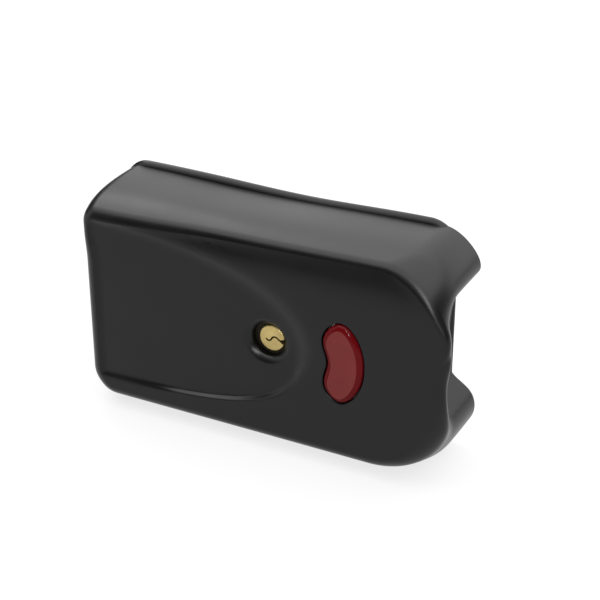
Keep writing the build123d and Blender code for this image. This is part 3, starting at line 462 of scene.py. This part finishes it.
def floor_depth(x):
    """Depth of the scoop's floor."""
    share = (x - SCOOP_LEFT) / (SCOOP_TIP_X - SCOOP_LEFT)
    return mix(SCOOP_DEPTH_LEFT, SCOOP_DEPTH_TIP, np.clip(share, -0.2, 1.1))


def wall_profile(f, r):
    """Share of the scoop's depth left at f, 0 at the wall's foot and 1 at its top edge."""
    line = 1 - np.clip(f, 0, 1)
    foot = np.where(np.abs(f) < r, 1 - (f + r) ** 2 / (4 * r), line)
    g = 1 - f
    return np.where(np.abs(g) < r, (g + r) ** 2 / (4 * r), foot)


def scoop_depth(x, z):
    """Depth of the scoop anywhere on the front."""
    k, _ = nearest(RIM_LINE, zip(x, z))
    s = (x - RIM_LINE[k, 0]) * RIM_NORMALS[k, 0] + (z - RIM_LINE[k, 1]) * RIM_NORMALS[k, 1]
    width = RIM_FLARES[k] * floor_depth(RIM_LINE[k, 0])
    return wall_profile(s / width + WALL_SHIFT, RIM_SOFTNESS[k]) * floor_depth(x)


# Depths of the front face by the radius round the key opening, and by the gap to the button's edge
LIP = [(7.3, 2.5), (7.5, 1.9), (8.0, 1.35), (8.6, 0.85), (9.2, 0.42), (9.8, 0.12), (10.6, 0.0)]
KIDNEY_EDGE = [(0.5, 0.55), (0.56, 0.25), (0.75, 0.07), (1.05, 0.0), (2.0, 0.0)]
OPENING_COUNT = 72


def kidney_loop(grow, per=16):
    """The button's outline, grown by a margin, with a count of points on each of its eight runs."""
    shares = [(-0.12, 1.0), (0.66, 0.68), (1.0, 0.0), (0.66, -0.67),
              (-0.13, -0.98), (-0.95, -0.61), (-0.78, -0.03), (-1.02, 0.54)]
    spots = [(x * BUTTON_HALF_WIDTH, z * BUTTON_HALF_LENGTH) for x, z in shares]
    return moved_in(cubic(spots, per, closed=True) + np.array([BUTTON_X, BUTTON_Z]), -grow)


def front_depth(x, z):
    """Depth of the front face: the deeper of crown and scoop, softly joined, and the openings."""
    a, b = crown(x, z), scoop_depth(x, z)
    soft = 0.35
    near = np.maximum(soft - np.abs(a - b), 0) / soft
    body = np.maximum(a, b) + near**2 * soft / 4 * np.clip(np.minimum(a, b) / soft, 0, 1)
    _, gap = nearest(kidney_loop(0), zip(x, z))
    return body + table(np.hypot(x - OPENING_X, z - OPENING_Z), LIP) + table(gap, KIDNEY_EDGE)


def skin_rings(inset):
    """Rings of the cover's outer skin, or of the inner one by its inset, from rear to front."""
    depths = [0.0, -REAR_CHAMFER, SLOT_REAR_Y, -5.5, -8, -11, -14, -17, -20, -22, -24,
              RECESS_FLOOR_Y, -28, -30, -32, SLOT_FRONT_Y]
    rings = [ring(y, inset) for y in depths]
    if inset == 0:
        rings[0] = ring(0.0, REAR_CHAMFER)
    start = SLOT_FRONT_Y + (RADII + SET_BACK - DEPTH - SLOT_FRONT_Y) / 2
    rings.append(at_depth(moved_in(outline_at(start), inset), start))
    return rings + [round_ring(k / ROUND_STEPS, inset) for k in range(ROUND_STEPS + 1)]


def front_net(edge):
    """Flat net of the front face: its points and triangles, and the source of each point."""
    pts, cons = [], []
    add_line(pts, cons, edge)
    for radius, _ in LIP:
        add_line(pts, cons, arc(OPENING_X, OPENING_Z, radius, 0, 360, OPENING_COUNT + 1)[:-1])
    kidneys = [kidney_loop(g) for g, _ in KIDNEY_EDGE]
    for loop in kidneys:
        add_line(pts, cons, loop)
    near_edge = moved_in(edge, 1.0)
    line, normal = RIM_LINE[::3], RIM_NORMALS[::3]
    width = RIM_FLARES[::3] * floor_depth(line[:, 0])
    for f in (-0.7, -0.46, -0.22, 0.0, 0.22, 0.46, 0.54, 0.78, 1.0, 1.22, 1.46, 1.7):
        wall = line + normal * (width * (f - WALL_SHIFT))[:, None]
        add_line(pts, cons, wall[inside(wall[:, 0], wall[:, 1], near_edge)], closed=False)
    step, least_gap = 2.0, 0.8
    gx, gz = np.meshgrid(np.arange(-78, 82, step), np.arange(-39, 39.1, step))
    gx, gz = gx.ravel(), gz.ravel()
    keep = inside(gx, gz, near_edge)
    gx, gz = gx[keep], gz[keep]
    _, gap = nearest(pts, zip(gx, gz))
    pts.extend(zip(gx[gap > least_gap], gz[gap > least_gap]))
    co, tri, source = triangulated(pts, cons)
    mid = co[tri].mean(axis=1)
    ok = inside(mid[:, 0], mid[:, 1], edge)
    ok &= ~inside(mid[:, 0], mid[:, 1], kidneys[0])
    hole = LIP[0][0] * cos(pi / OPENING_COUNT) - 1e-4
    ok &= np.hypot(mid[:, 0] - OPENING_X, mid[:, 1] - OPENING_Z) > hole
    return co, tri[ok], source


def build_cover():
    """Thin-walled shell: outer skin, inner skin and the borders between them."""
    rings = skin_rings(0.0)
    verts = [v for r in rings for v in r]
    mate = [v for r in skin_rings(WALL) for v in r]
    n = len(rings[0])
    faces = bands(len(rings), n)
    base = (len(rings) - 1) * n
    co, tri, source = front_net(rings[-1][:, [0, 2]])
    depth = front_depth(co[:, 0], co[:, 1])
    index = {}
    for i, given in enumerate(source):
        on_edge = [s for s in given if s < n]
        if on_edge:
            index[i] = base + on_edge[0]
            continue
        index[i] = len(verts)
        y = depth[i] - DEPTH
        inner_y = max(y + LEAST_WALL, WALL - DEPTH + min(depth[i], INNER_SUNK_MOST))
        verts.append(np.array((co[i][0], y, co[i][1])))
        mate.append(np.array((co[i][0], inner_y, co[i][1])))
    for t in tri:
        a, b, c = (index[v] for v in t)
        if len({a, b, c}) == 3:
            faces.append(facing_front(verts, a, b, c))
    border = border_of(faces)
    used = sorted({v for f in faces for v in f})
    place = {v: i for i, v in enumerate(used)}
    m = len(used)
    points = [verts[v] for v in used] + [mate[v] for v in used]
    skins = [tuple(place[v] for v in f) for f in faces]
    skins += [tuple(place[v] + m for v in reversed(f)) for f in faces]
    skins += [(place[b], place[a], place[a] + m, place[b] + m) for a, b in border]
    return np.array(points) * MM, skins


def screw_hole_bar(x):
    """Cutter for the round hole over a cover screw."""
    return lofted([level_circle(x, SCREW_Y, z, SCREW_HEAD) for z in SCREW_HOLE_ZS])


def claw_slot_block():
    """Cutter for the slot in the recess where the claw comes out."""
    flat = np.array([(SLOT_LEFT_X, SLOT_HALF), (SLOT_RIGHT_X, SLOT_HALF),
                     (SLOT_RIGHT_X, -SLOT_HALF), (SLOT_LEFT_X, -SLOT_HALF)])
    return lofted([at_depth(flat, y) for y in (SLOT_REAR_Y, SLOT_FRONT_Y)])


def build_screw_boss(x):
    """Sunk seat of a cover screw, inside the lower wall."""
    profile = [(SCREW_HEAD, BOSS_FOOT_Z), (SCREW_HEAD, SEAT_Z), (SCREW_SHANK, SEAT_Z),
               (SCREW_SHANK, BOSS_TOP_Z), (BOSS_RADIUS, BOSS_TOP_Z), (BOSS_RADIUS, BOSS_FOOT_Z)]
    loops = [level_circle(x, SCREW_Y, z, radius) for radius, z in profile]
    return lofted(loops + loops[:1], capped=False)


def rim_outline():
    """The rim's outer line: a rounded rectangle with slightly waisted long sides."""
    left = FRONT_LEFT - DRAFT_LEFT - RIM_PROUD
    half = FRONT_HALF + DRAFT_HEIGHT + RIM_PROUD
    r = RIM_RADIUS
    x0, x1, z1 = left + r, RIM_RIGHT - r, half - r
    middle = (left + RIM_RIGHT) / 2
    turns = [(x0, half), (middle - 32, half - 0.4), (middle + 12, half - WAIST), (x1, half)]
    top = cubic(turns, 32, (1, 0), (1, 0))
    low = np.flipud(top) * np.array([1, -1])
    corners = [arc(x, z, r, start, start + 90, 14)[1:-1]
               for x, z, start in ((x1, z1, 0), (x1, -z1, 90), (x0, -z1, 180), (x0, z1, 270))]
    right, side = at_x(RIM_RIGHT, z1, -z1, 40), at_x(left, -z1, z1, 40)
    return np.vstack([top, corners[0], right, corners[1], low, corners[2], side, corners[3]])


def build_rim():
    """Flat band round the rear edge. It stops where it would enter a lug."""
    line = rim_outline()
    normal = normals_of(line)
    front = -RIM_DEPTH
    section = [(front - 1.6, -3.2), (front - 1.2, -2.1), (front - 0.75, -1.35), (front - 0.2, -0.7),
               (front + 0.25, -0.25), (front + 0.75, -0.03), (-0.5, 0.0), (-0.15, -0.15),
               (-0.02, -0.5), (-0.02, -3.2)]
    keep = ~inside(line[:, 0], line[:, 1], moved_in(outline(-1.0), 1.0))
    n = len(line)
    start = next(i for i in range(n) if keep[i] and not keep[i - 1])
    order = [(start + i) % n for i in range(n)]
    verts, faces = [], []
    count = len(section)
    for kept, run in groupby(order, key=lambda i: keep[i]):
        if not kept:
            continue
        base = len(verts)
        for i in run:
            for y, out in section:
                x, z = line[i] + normal[i] * out
                verts.append((x * MM, y * MM, z * MM))
        faces += bands((len(verts) - base) // count, count, base)
        faces.append(tuple(range(base, base + count)))
        faces.append(tuple(range(len(verts) - 1, len(verts) - count - 1, -1)))
    return np.array(verts), faces


def kidney_stack(profile):
    """Closed body over kidney outlines, each with its margin and depth."""
    return lofted([at_depth(kidney_loop(grow, 24), y) for grow, y in profile])


def build_button():
    """Kidney cap with a rounded bevel round its flat face, which lies just under the pad."""
    profile = [(0.0, BUTTON_REAR_Y), (0.0, BUTTON_FRONT_Y + BEVEL_DEPTH)]
    sunk = 0.06
    for k in range(1, BEVEL_STEPS + 1):
        t = BEVEL_ANGLE * k / BEVEL_STEPS
        inset = BEVEL_WIDTH * (1 - cos(t)) / (1 - cos(BEVEL_ANGLE))
        back = (BEVEL_DEPTH - sunk) * (1 - sin(t) / sin(BEVEL_ANGLE))
        profile.append((-inset, BUTTON_FRONT_Y + sunk + back))
    return kidney_stack(profile)


def build_button_pad():
    """The satin flat of the button, inside its glossy bevel."""
    return kidney_stack([(-BEVEL_WIDTH + 0.1, BUTTON_FRONT_Y + 0.3),
                         (-BEVEL_WIDTH + 0.1, BUTTON_FRONT_Y + 0.05),
                         (-BEVEL_WIDTH, BUTTON_FRONT_Y), (-BEVEL_WIDTH - 0.5, BUTTON_FRONT_Y)])


# Middle line of the keyway, and the plug's front edge as radius and depth from the wall inwards
KEYWAY = [(-2.65, -0.48), (-1.9, -1.2), (-0.9, -1.15), (0.4, 0.5), (2.2, 0.65), (3.2, -0.1),
          (4.7, -0.6), (PLUG_RADIUS + 0.4, -0.85)]
PLUG_EDGE = [(PLUG_RADIUS, PLUG_FRONT_Y + 0.55), (PLUG_RADIUS - 0.12, PLUG_FRONT_Y + 0.25),
             (PLUG_RADIUS - 0.32, PLUG_FRONT_Y + 0.07), (PLUG_RADIUS - 0.55, PLUG_FRONT_Y)]


def keyway_outline():
    """Closed outline of the wavy keyway, wider towards the plug's edge."""
    line = cubic(KEYWAY, 8)
    side = line_normals(line)
    half = 0.38 + 0.75 * smooth01((np.linspace(0, 1, len(line)) - 0.74) / 0.18)
    return np.vstack([line + side * half[:, None], np.flipud(line - side * half[:, None])])


def deep_at(deep, verts, v):
    """The rear partner of one of the plug's front points."""
    if v not in deep:
        deep[v] = len(verts)
        verts.append(np.array((verts[v][0], PLUG_REAR_Y, verts[v][2])))
    return deep[v]


def build_plug():
    """The turning plug: a rounded front with the keyway cut into it, and its tail behind."""
    rim = arc(0, 0, PLUG_RADIUS, 0, 360, 121)[:-1]
    keyway = keyway_outline()
    pts, cons = [], []
    for radius, _ in PLUG_EDGE:
        add_line(pts, cons, rim * radius / PLUG_RADIUS)
    add_line(pts, cons, keyway)
    co, tri, _ = triangulated(pts, cons)
    mid = co[tri].mean(axis=1)
    ok = ~inside(mid[:, 0], mid[:, 1], keyway)
    ok &= np.hypot(mid[:, 0], mid[:, 1]) < PLUG_RADIUS
    depth = table(np.hypot(co[:, 0], co[:, 1]), PLUG_EDGE[::-1])
    verts = [np.array((x, y, z)) for (x, z), y in zip(co, depth)]
    skin = [facing_front(verts, *(int(v) for v in t)) for t in tri[ok]]
    deep = {}
    faces = list(skin)
    for a, b in border_of(skin):
        faces.append((b, a, deep_at(deep, verts, a), deep_at(deep, verts, b)))
    faces += [tuple(deep_at(deep, verts, v) for v in reversed(t)) for t in skin]
    tail = len(verts)
    turn = np.arange(0, 2 * pi, pi / 24)
    for y in (PLUG_REAR_Y - 0.5, PLUG_REAR_Y + TAIL_LENGTH):
        verts.extend(np.array((TAIL_RADIUS * cos(a), y, TAIL_RADIUS * sin(a))) for a in turn)
    faces += bands(2, len(turn), tail)
    faces.append(tuple(range(tail + len(turn), len(verts))))
    return (np.array(verts) + np.array((CYLINDER_X, 0, CYLINDER_Z))) * MM, faces


def new_mesh(name, made):
    """New object from points and faces, shaded smooth except at its creases."""
    verts, faces = made
    me = bpy.data.meshes.new(name)
    me.from_pydata([tuple(v) for v in verts], [], faces)
    me.update()
    me.validate()
    for p in me.polygons:
        p.use_smooth = True
    me.set_sharp_from_angle(angle=CREASE)
    ob = bpy.data.objects.new(name, me)
    scene.collection.objects.link(ob)
    return ob


# Materials. Most of a noise's values lie between these two
NOISE_LOW, NOISE_HIGH = 0.3, 0.7


class Shader:
    """Small helper that builds one procedural material."""

    def __init__(self, name, color, rough, metallic=0.0, spec=0.5):
        self.mat = bpy.data.materials.new(name)
        self.mat.use_nodes = True
        self.nt = self.mat.node_tree
        self.bsdf = self.nt.nodes["Principled BSDF"]
        self.bsdf.inputs["Base Color"].default_value = (*color, 1)
        self.bsdf.inputs["Roughness"].default_value = rough
        self.bsdf.inputs["Metallic"].default_value = metallic
        self.bsdf.inputs["Specular IOR Level"].default_value = spec
        self.color, self.rough = color, rough
        self.coord = self.nt.nodes.new("ShaderNodeTexCoord")
        self.height = None

    def node(self, kind, **inputs):
        nd = self.nt.nodes.new(kind)
        for key, value in inputs.items():
            nd.inputs[key.replace("_", " ")].default_value = value
        return nd

    def link(self, a, b):
        self.nt.links.new(a, b)

    def noise(self, scale, detail=3.0, rough=0.5, stretch=(1, 1, 1)):
        mp = self.node("ShaderNodeMapping")
        mp.inputs["Scale"].default_value = stretch
        self.link(self.coord.outputs["Object"], mp.inputs["Vector"])
        nz = self.node("ShaderNodeTexNoise", Scale=scale, Detail=detail, Roughness=rough)
        self.link(mp.outputs["Vector"], nz.inputs["Vector"])
        return nz.outputs["Fac"]

    def remap(self, value, low, high):
        mr = self.node("ShaderNodeMapRange")
        mr.inputs["From Min"].default_value = NOISE_LOW
        mr.inputs["From Max"].default_value = NOISE_HIGH
        mr.inputs["To Min"].default_value = low
        mr.inputs["To Max"].default_value = high
        self.link(value, mr.inputs["Value"])
        return mr.outputs["Result"]

    def vary_rough(self, value, spread):
        self.link(self.remap(value, max(0.02, self.rough - spread), min(1, self.rough + spread)),
                  self.bsdf.inputs["Roughness"])

    def vary_color(self, value, low, high):
        mixer = self.nt.nodes.new("ShaderNodeMix")
        mixer.data_type = "RGBA"
        for socket, share in ((6, low), (7, high)):
            mixer.inputs[socket].default_value = (*[min(1, c * share) for c in self.color], 1)
        self.link(self.remap(value, 0, 1), mixer.inputs[0])
        self.link(mixer.outputs[2], self.bsdf.inputs["Base Color"])

    def bump(self, value, distance, strength=1.0):
        bp = self.node("ShaderNodeBump", Strength=strength, Distance=distance)
        self.link(value, bp.inputs["Height"])
        if self.height is not None:
            self.link(self.height, bp.inputs["Normal"])
        self.height = bp.outputs["Normal"]
        self.link(self.height, self.bsdf.inputs["Normal"])


def moulded(name, color, rough, grain=900.0, depth=0.00002, spec=0.5):
    """Satin plastic or rubber with a fine grain and a faint wave."""
    s = Shader(name, color, rough, spec=spec)
    fine = s.noise(grain, 4, 0.6)
    broad = s.noise(22, 3, 0.5)
    s.vary_rough(broad, 0.05)
    s.vary_color(s.noise(60, 4), 0.9, 1.12)
    s.bump(fine, depth, 0.5)
    s.bump(broad, 0.0002, 0.12)
    return s.mat


def sheet_metal(name, color, rough):
    """Plated sheet with a faint direction to its finish."""
    s = Shader(name, color, rough, 1.0)
    brushed = (1, 1, 40)
    s.vary_rough(s.noise(300, 3, 0.6, brushed), 0.10)
    s.vary_color(s.noise(35, 5), 0.85, 1.1)
    s.bump(s.noise(500, 3, 0.6, brushed), 0.00001, 0.5)
    return s.mat


def turned_metal(name, color, rough):
    """Turned, drawn or sintered metal with a fine uneven surface."""
    s = Shader(name, color, rough, 1.0)
    s.vary_rough(s.noise(500, 4), 0.10)
    s.vary_color(s.noise(90, 4), 0.8, 1.12)
    s.bump(s.noise(1500, 3), 0.000008, 0.6)
    return s.mat


def gloss(name, color, rough, spec, coat):
    """Smooth moulded plastic with an optional clear coat."""
    s = Shader(name, color, rough, spec=spec)
    s.bsdf.inputs["Coat Weight"].default_value = coat
    s.bsdf.inputs["Coat Roughness"].default_value = 0.08
    s.vary_rough(s.noise(120, 3), 0.05)
    s.vary_color(s.noise(80, 4), 0.9, 1.1)
    s.bump(s.noise(700, 3), 0.00001, 0.3)
    return s.mat


MATS = {
    "black_moulding": moulded("black_moulding", (0.0022, 0.0022, 0.0023), 0.32, spec=0.26),
    "zinc_plate": sheet_metal("zinc_plate", (0.62, 0.63, 0.62), 0.35),
    "black_screw": turned_metal("black_screw", (0.05, 0.05, 0.05), 0.42),
    "brass_insert": turned_metal("brass_insert", (0.75, 0.58, 0.28), 0.35),
    "steel": turned_metal("steel", (0.60, 0.60, 0.60), 0.30),
    "black_rubber": moulded("black_rubber", (0.018, 0.018, 0.018), 0.70, 600, 0.00004),
    "sintered_steel": turned_metal("sintered_steel", (0.40, 0.40, 0.41), 0.42),
    "bronze": turned_metal("bronze", (0.55, 0.36, 0.17), 0.45),
    "spring_steel": turned_metal("spring_steel", (0.50, 0.50, 0.52), 0.28),
    # The button bevel's red is darker than the pad's red: painted shade on the bevel
    "red_gloss": gloss("red_gloss", (0.070, 0.002, 0.003), 0.12, 0.01, 0.12),
    "black_nylon": moulded("black_nylon", (0.025, 0.025, 0.025), 0.50),
    "coil_tape": moulded("coil_tape", (0.60, 0.42, 0.06), 0.45),
    "nickel_steel": turned_metal("nickel_steel", (0.70, 0.69, 0.66), 0.18),
    # The cylinder body's brass is coloured nearly black: painted shade for the ring round the plug,
    # deep inside the key opening
    "brass": turned_metal("brass", (0.020, 0.017, 0.012), 0.50),
    "brass_plug": turned_metal("brass_plug", (0.49, 0.38, 0.155), 0.42),
    "grey_nylon": moulded("grey_nylon", (0.50, 0.51, 0.50), 0.50),
}
# The pad's red is the lighter of the button's two reds; the bevel's darker red is painted shade
RED_SATIN = gloss("red_satin", (0.108, 0.013, 0.012), 0.42, 0.16, 0.0)
slot_of = {p["node"]: p["material_slot"] for p in frame["record"]["subparts"]}
for name, ob in nodes.items():
    mat = MATS.get(slot_of.get(name))
    if mat:
        for s in ob.material_slots:
            s.link = "OBJECT"
            s.material = mat


def drill(ob, cutters):
    """Cut holes into a new piece's own mesh."""
    for made in cutters:
        cutter = new_mesh("cutter", made)
        mod = ob.modifiers.new("hole", "BOOLEAN")
        mod.operation = "DIFFERENCE"
        mod.solver = "EXACT"
        mod.object = cutter
        depsgraph = bpy.context.evaluated_depsgraph_get()
        cut = bpy.data.meshes.new_from_object(ob.evaluated_get(depsgraph))
        ob.modifiers.clear()
        cut.set_sharp_from_angle(angle=CREASE)
        ob.data = cut
        bpy.data.objects.remove(cutter, do_unlink=True)


def smooth_modifier():
    """Node group that shades a faceted mesh smooth except at its sharp edges."""
    ng = bpy.data.node_groups.new("smooth_by_angle", "GeometryNodeTree")
    ng.interface.new_socket("Geometry", in_out="INPUT", socket_type="NodeSocketGeometry")
    ng.interface.new_socket("Geometry", in_out="OUTPUT", socket_type="NodeSocketGeometry")
    gi = ng.nodes.new("NodeGroupInput")
    go = ng.nodes.new("NodeGroupOutput")
    faces = ng.nodes.new("GeometryNodeSetShadeSmooth")
    edges = ng.nodes.new("GeometryNodeSetShadeSmooth")
    edges.domain = "EDGE"
    angle = ng.nodes.new("GeometryNodeInputMeshEdgeAngle")
    flat = ng.nodes.new("FunctionNodeCompare")
    flat.data_type = "FLOAT"
    flat.operation = "LESS_THAN"
    flat.inputs[1].default_value = SOLID_CREASE
    ng.links.new(angle.outputs["Unsigned Angle"], flat.inputs[0])
    ng.links.new(gi.outputs[0], faces.inputs[0])
    ng.links.new(faces.outputs[0], edges.inputs[0])
    ng.links.new(flat.outputs[0], edges.inputs["Shade Smooth"])
    ng.links.new(edges.outputs[0], go.inputs[0])
    return ng


SMOOTH = smooth_modifier()
for ob in nodes.values():
    mod = ob.modifiers.new("smooth", "NODES")
    mod.node_group = SMOOTH


# Visible pieces rebuilt in mesh code
def dress(name, made, body, slot, replaced, material=None):
    """Place a new piece on its body, in the place of the solid that it shows more finely."""
    ob = new_mesh(name, made)
    ob.data.materials.append(material or MATS[slot])
    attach(ob, body)
    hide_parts(replaced)
    return ob


make_camera()
shell = dress("cover_shell", build_cover(), "lock_case", "black_moulding", "cover")
drill(shell, [claw_slot_block()] + [screw_hole_bar(x) for x in SCREW_XS])
for side_name, screw_x in zip(("left", "right"), SCREW_XS):
    boss = build_screw_boss(screw_x)
    dress("screw_boss_" + side_name, boss, "lock_case", "black_moulding", "cover")
dress("cover_rim", build_rim(), "lock_case", "black_moulding", "cover")
dress("button_face", build_button(), "button", "red_gloss", "button_cap")
dress("button_pad", build_button_pad(), "button", "red_gloss", "button_cap", RED_SATIN)
dress("plug_face", build_plug(), "key_plug", "brass_plug", "key_plug")


# Stage and light, in metres
FLOOR_HALF, FLOOR_GAP = 6.0, 0.0002
# The floor's tone in the light, the painted pool of white light near the lock, and the radii where
# that painted light fades
FLOOR_TONE, FLOOR_PAINTED_LIGHT, FLOOR_NEAR, FLOOR_FAR = 0.56, 0.76, 0.35, 1.1
# The fading is measured in units of two metres, so that its radii lie between 0 and 1
FADE_SCALE = 0.5
WORLD_STRENGTH = 0.09
# Soft boxes: name, place, target, width, height and brightness
LAMPS = [
    ("top_box", (0.10, 0.06, 1.20), (0.10, 0.06, 0), 2.8, 2.1, 3.3),
    ("left_top", (-1.05, 0.35, 1.15), (-1.05, 0.35, 0), 0.6, 1.2, 3.2),
    ("right_strip", (0.60, -1.00, 0.70), (0, -0.02, 0), 0.05, 0.8, 90.0),
    ("back_panel", (0.3, 1.70, 0.85), (0.3, 0, 0.2), 3.6, 1.6, 1.8),
    ("left_strip", (-0.9, -0.45, 0.35), (0, -0.02, 0), 0.5, 0.7, 1.5),
]


def area(name, loc, target, width, height, radiance):
    """Rectangular soft box, by the brightness that it shows in a reflection."""
    data = bpy.data.lights.new(name, "AREA")
    data.shape = "RECTANGLE"
    data.size = width
    data.size_y = height
    data.energy = radiance * pi * data.size * data.size_y
    ob = bpy.data.objects.new(name, data)
    scene.collection.objects.link(ob)
    ob.location = loc
    ob.rotation_euler = (Vector(loc) - Vector(target)).to_track_quat("Z", "Y").to_euler()


def pale_floor(z):
    """Pale floor with a painted pool of white light round the lock: it shows to the camera and in
    reflections, lightens the shadow and fades further out.
    """
    me = bpy.data.meshes.new("floor")
    s = FLOOR_HALF
    me.from_pydata([(-s, -s, z), (s, -s, z), (s, s, z), (-s, s, z)], [], [(0, 1, 2, 3)])
    ob = bpy.data.objects.new("floor", me)
    scene.collection.objects.link(ob)
    mat = bpy.data.materials.new("floor_pale")
    mat.use_nodes = True
    nt = mat.node_tree
    bsdf = nt.nodes["Principled BSDF"]
    bsdf.inputs["Base Color"].default_value = (FLOOR_TONE, FLOOR_TONE, FLOOR_TONE, 1)
    bsdf.inputs["Roughness"].default_value = 0.9
    bsdf.inputs["Specular IOR Level"].default_value = 0.1

    def math(operation, first, second):
        node = nt.nodes.new("ShaderNodeMath")
        node.operation = operation
        nt.links.new(first, node.inputs[0])
        if isinstance(second, float):
            node.inputs[1].default_value = second
        else:
            nt.links.new(second, node.inputs[1])
        return node.outputs[0]

    path = nt.nodes.new("ShaderNodeLightPath")
    seen = math("MAXIMUM", path.outputs["Is Camera Ray"], path.outputs["Is Glossy Ray"])
    seen = math("MAXIMUM", seen, path.outputs["Is Transmission Ray"])
    coord = nt.nodes.new("ShaderNodeTexCoord")
    away = nt.nodes.new("ShaderNodeVectorMath")
    away.operation = "LENGTH"
    nt.links.new(coord.outputs["Object"], away.inputs[0])
    # Painted light: a white glow, strongest round the lock, that fades out towards FLOOR_FAR
    painted_light_pool = nt.nodes.new("ShaderNodeValToRGB")
    painted_light_pool.color_ramp.interpolation = "EASE"
    stops = zip(painted_light_pool.color_ramp.elements, (FLOOR_NEAR, FLOOR_FAR), (FLOOR_PAINTED_LIGHT, 0))
    for stop, radius, white in stops:
        stop.position = radius * FADE_SCALE
        stop.color = (white, white, white, 1)
    nt.links.new(math("MULTIPLY", away.outputs["Value"], FADE_SCALE), painted_light_pool.inputs[0])
    painted_light_glow = nt.nodes.new("ShaderNodeEmission")
    painted_light_glow.inputs["Color"].default_value = (1, 1, 1, 1)
    painted_light_glow.inputs["Strength"].default_value = 1.0
    mixer = nt.nodes.new("ShaderNodeMixShader")
    nt.links.new(math("MULTIPLY", seen, painted_light_pool.outputs["Color"]), mixer.inputs[0])
    nt.links.new(bsdf.outputs[0], mixer.inputs[1])
    nt.links.new(painted_light_glow.outputs[0], mixer.inputs[2])
    nt.links.new(mixer.outputs[0], nt.nodes["Material Output"].inputs["Surface"])
    me.materials.append(mat)


def studio_world(strength):
    """Even white light from all sides."""
    world = bpy.data.worlds.new("world")
    scene.world = world
    world.use_nodes = True
    background = world.node_tree.nodes["Background"]
    background.inputs["Color"].default_value = (1, 1, 1, 1)
    background.inputs["Strength"].default_value = strength


pale_floor(cad_low[2] - FLOOR_GAP)
studio_world(WORLD_STRENGTH)
for lamp in LAMPS:
    area(*lamp)

scene.view_settings.view_transform = "Standard"
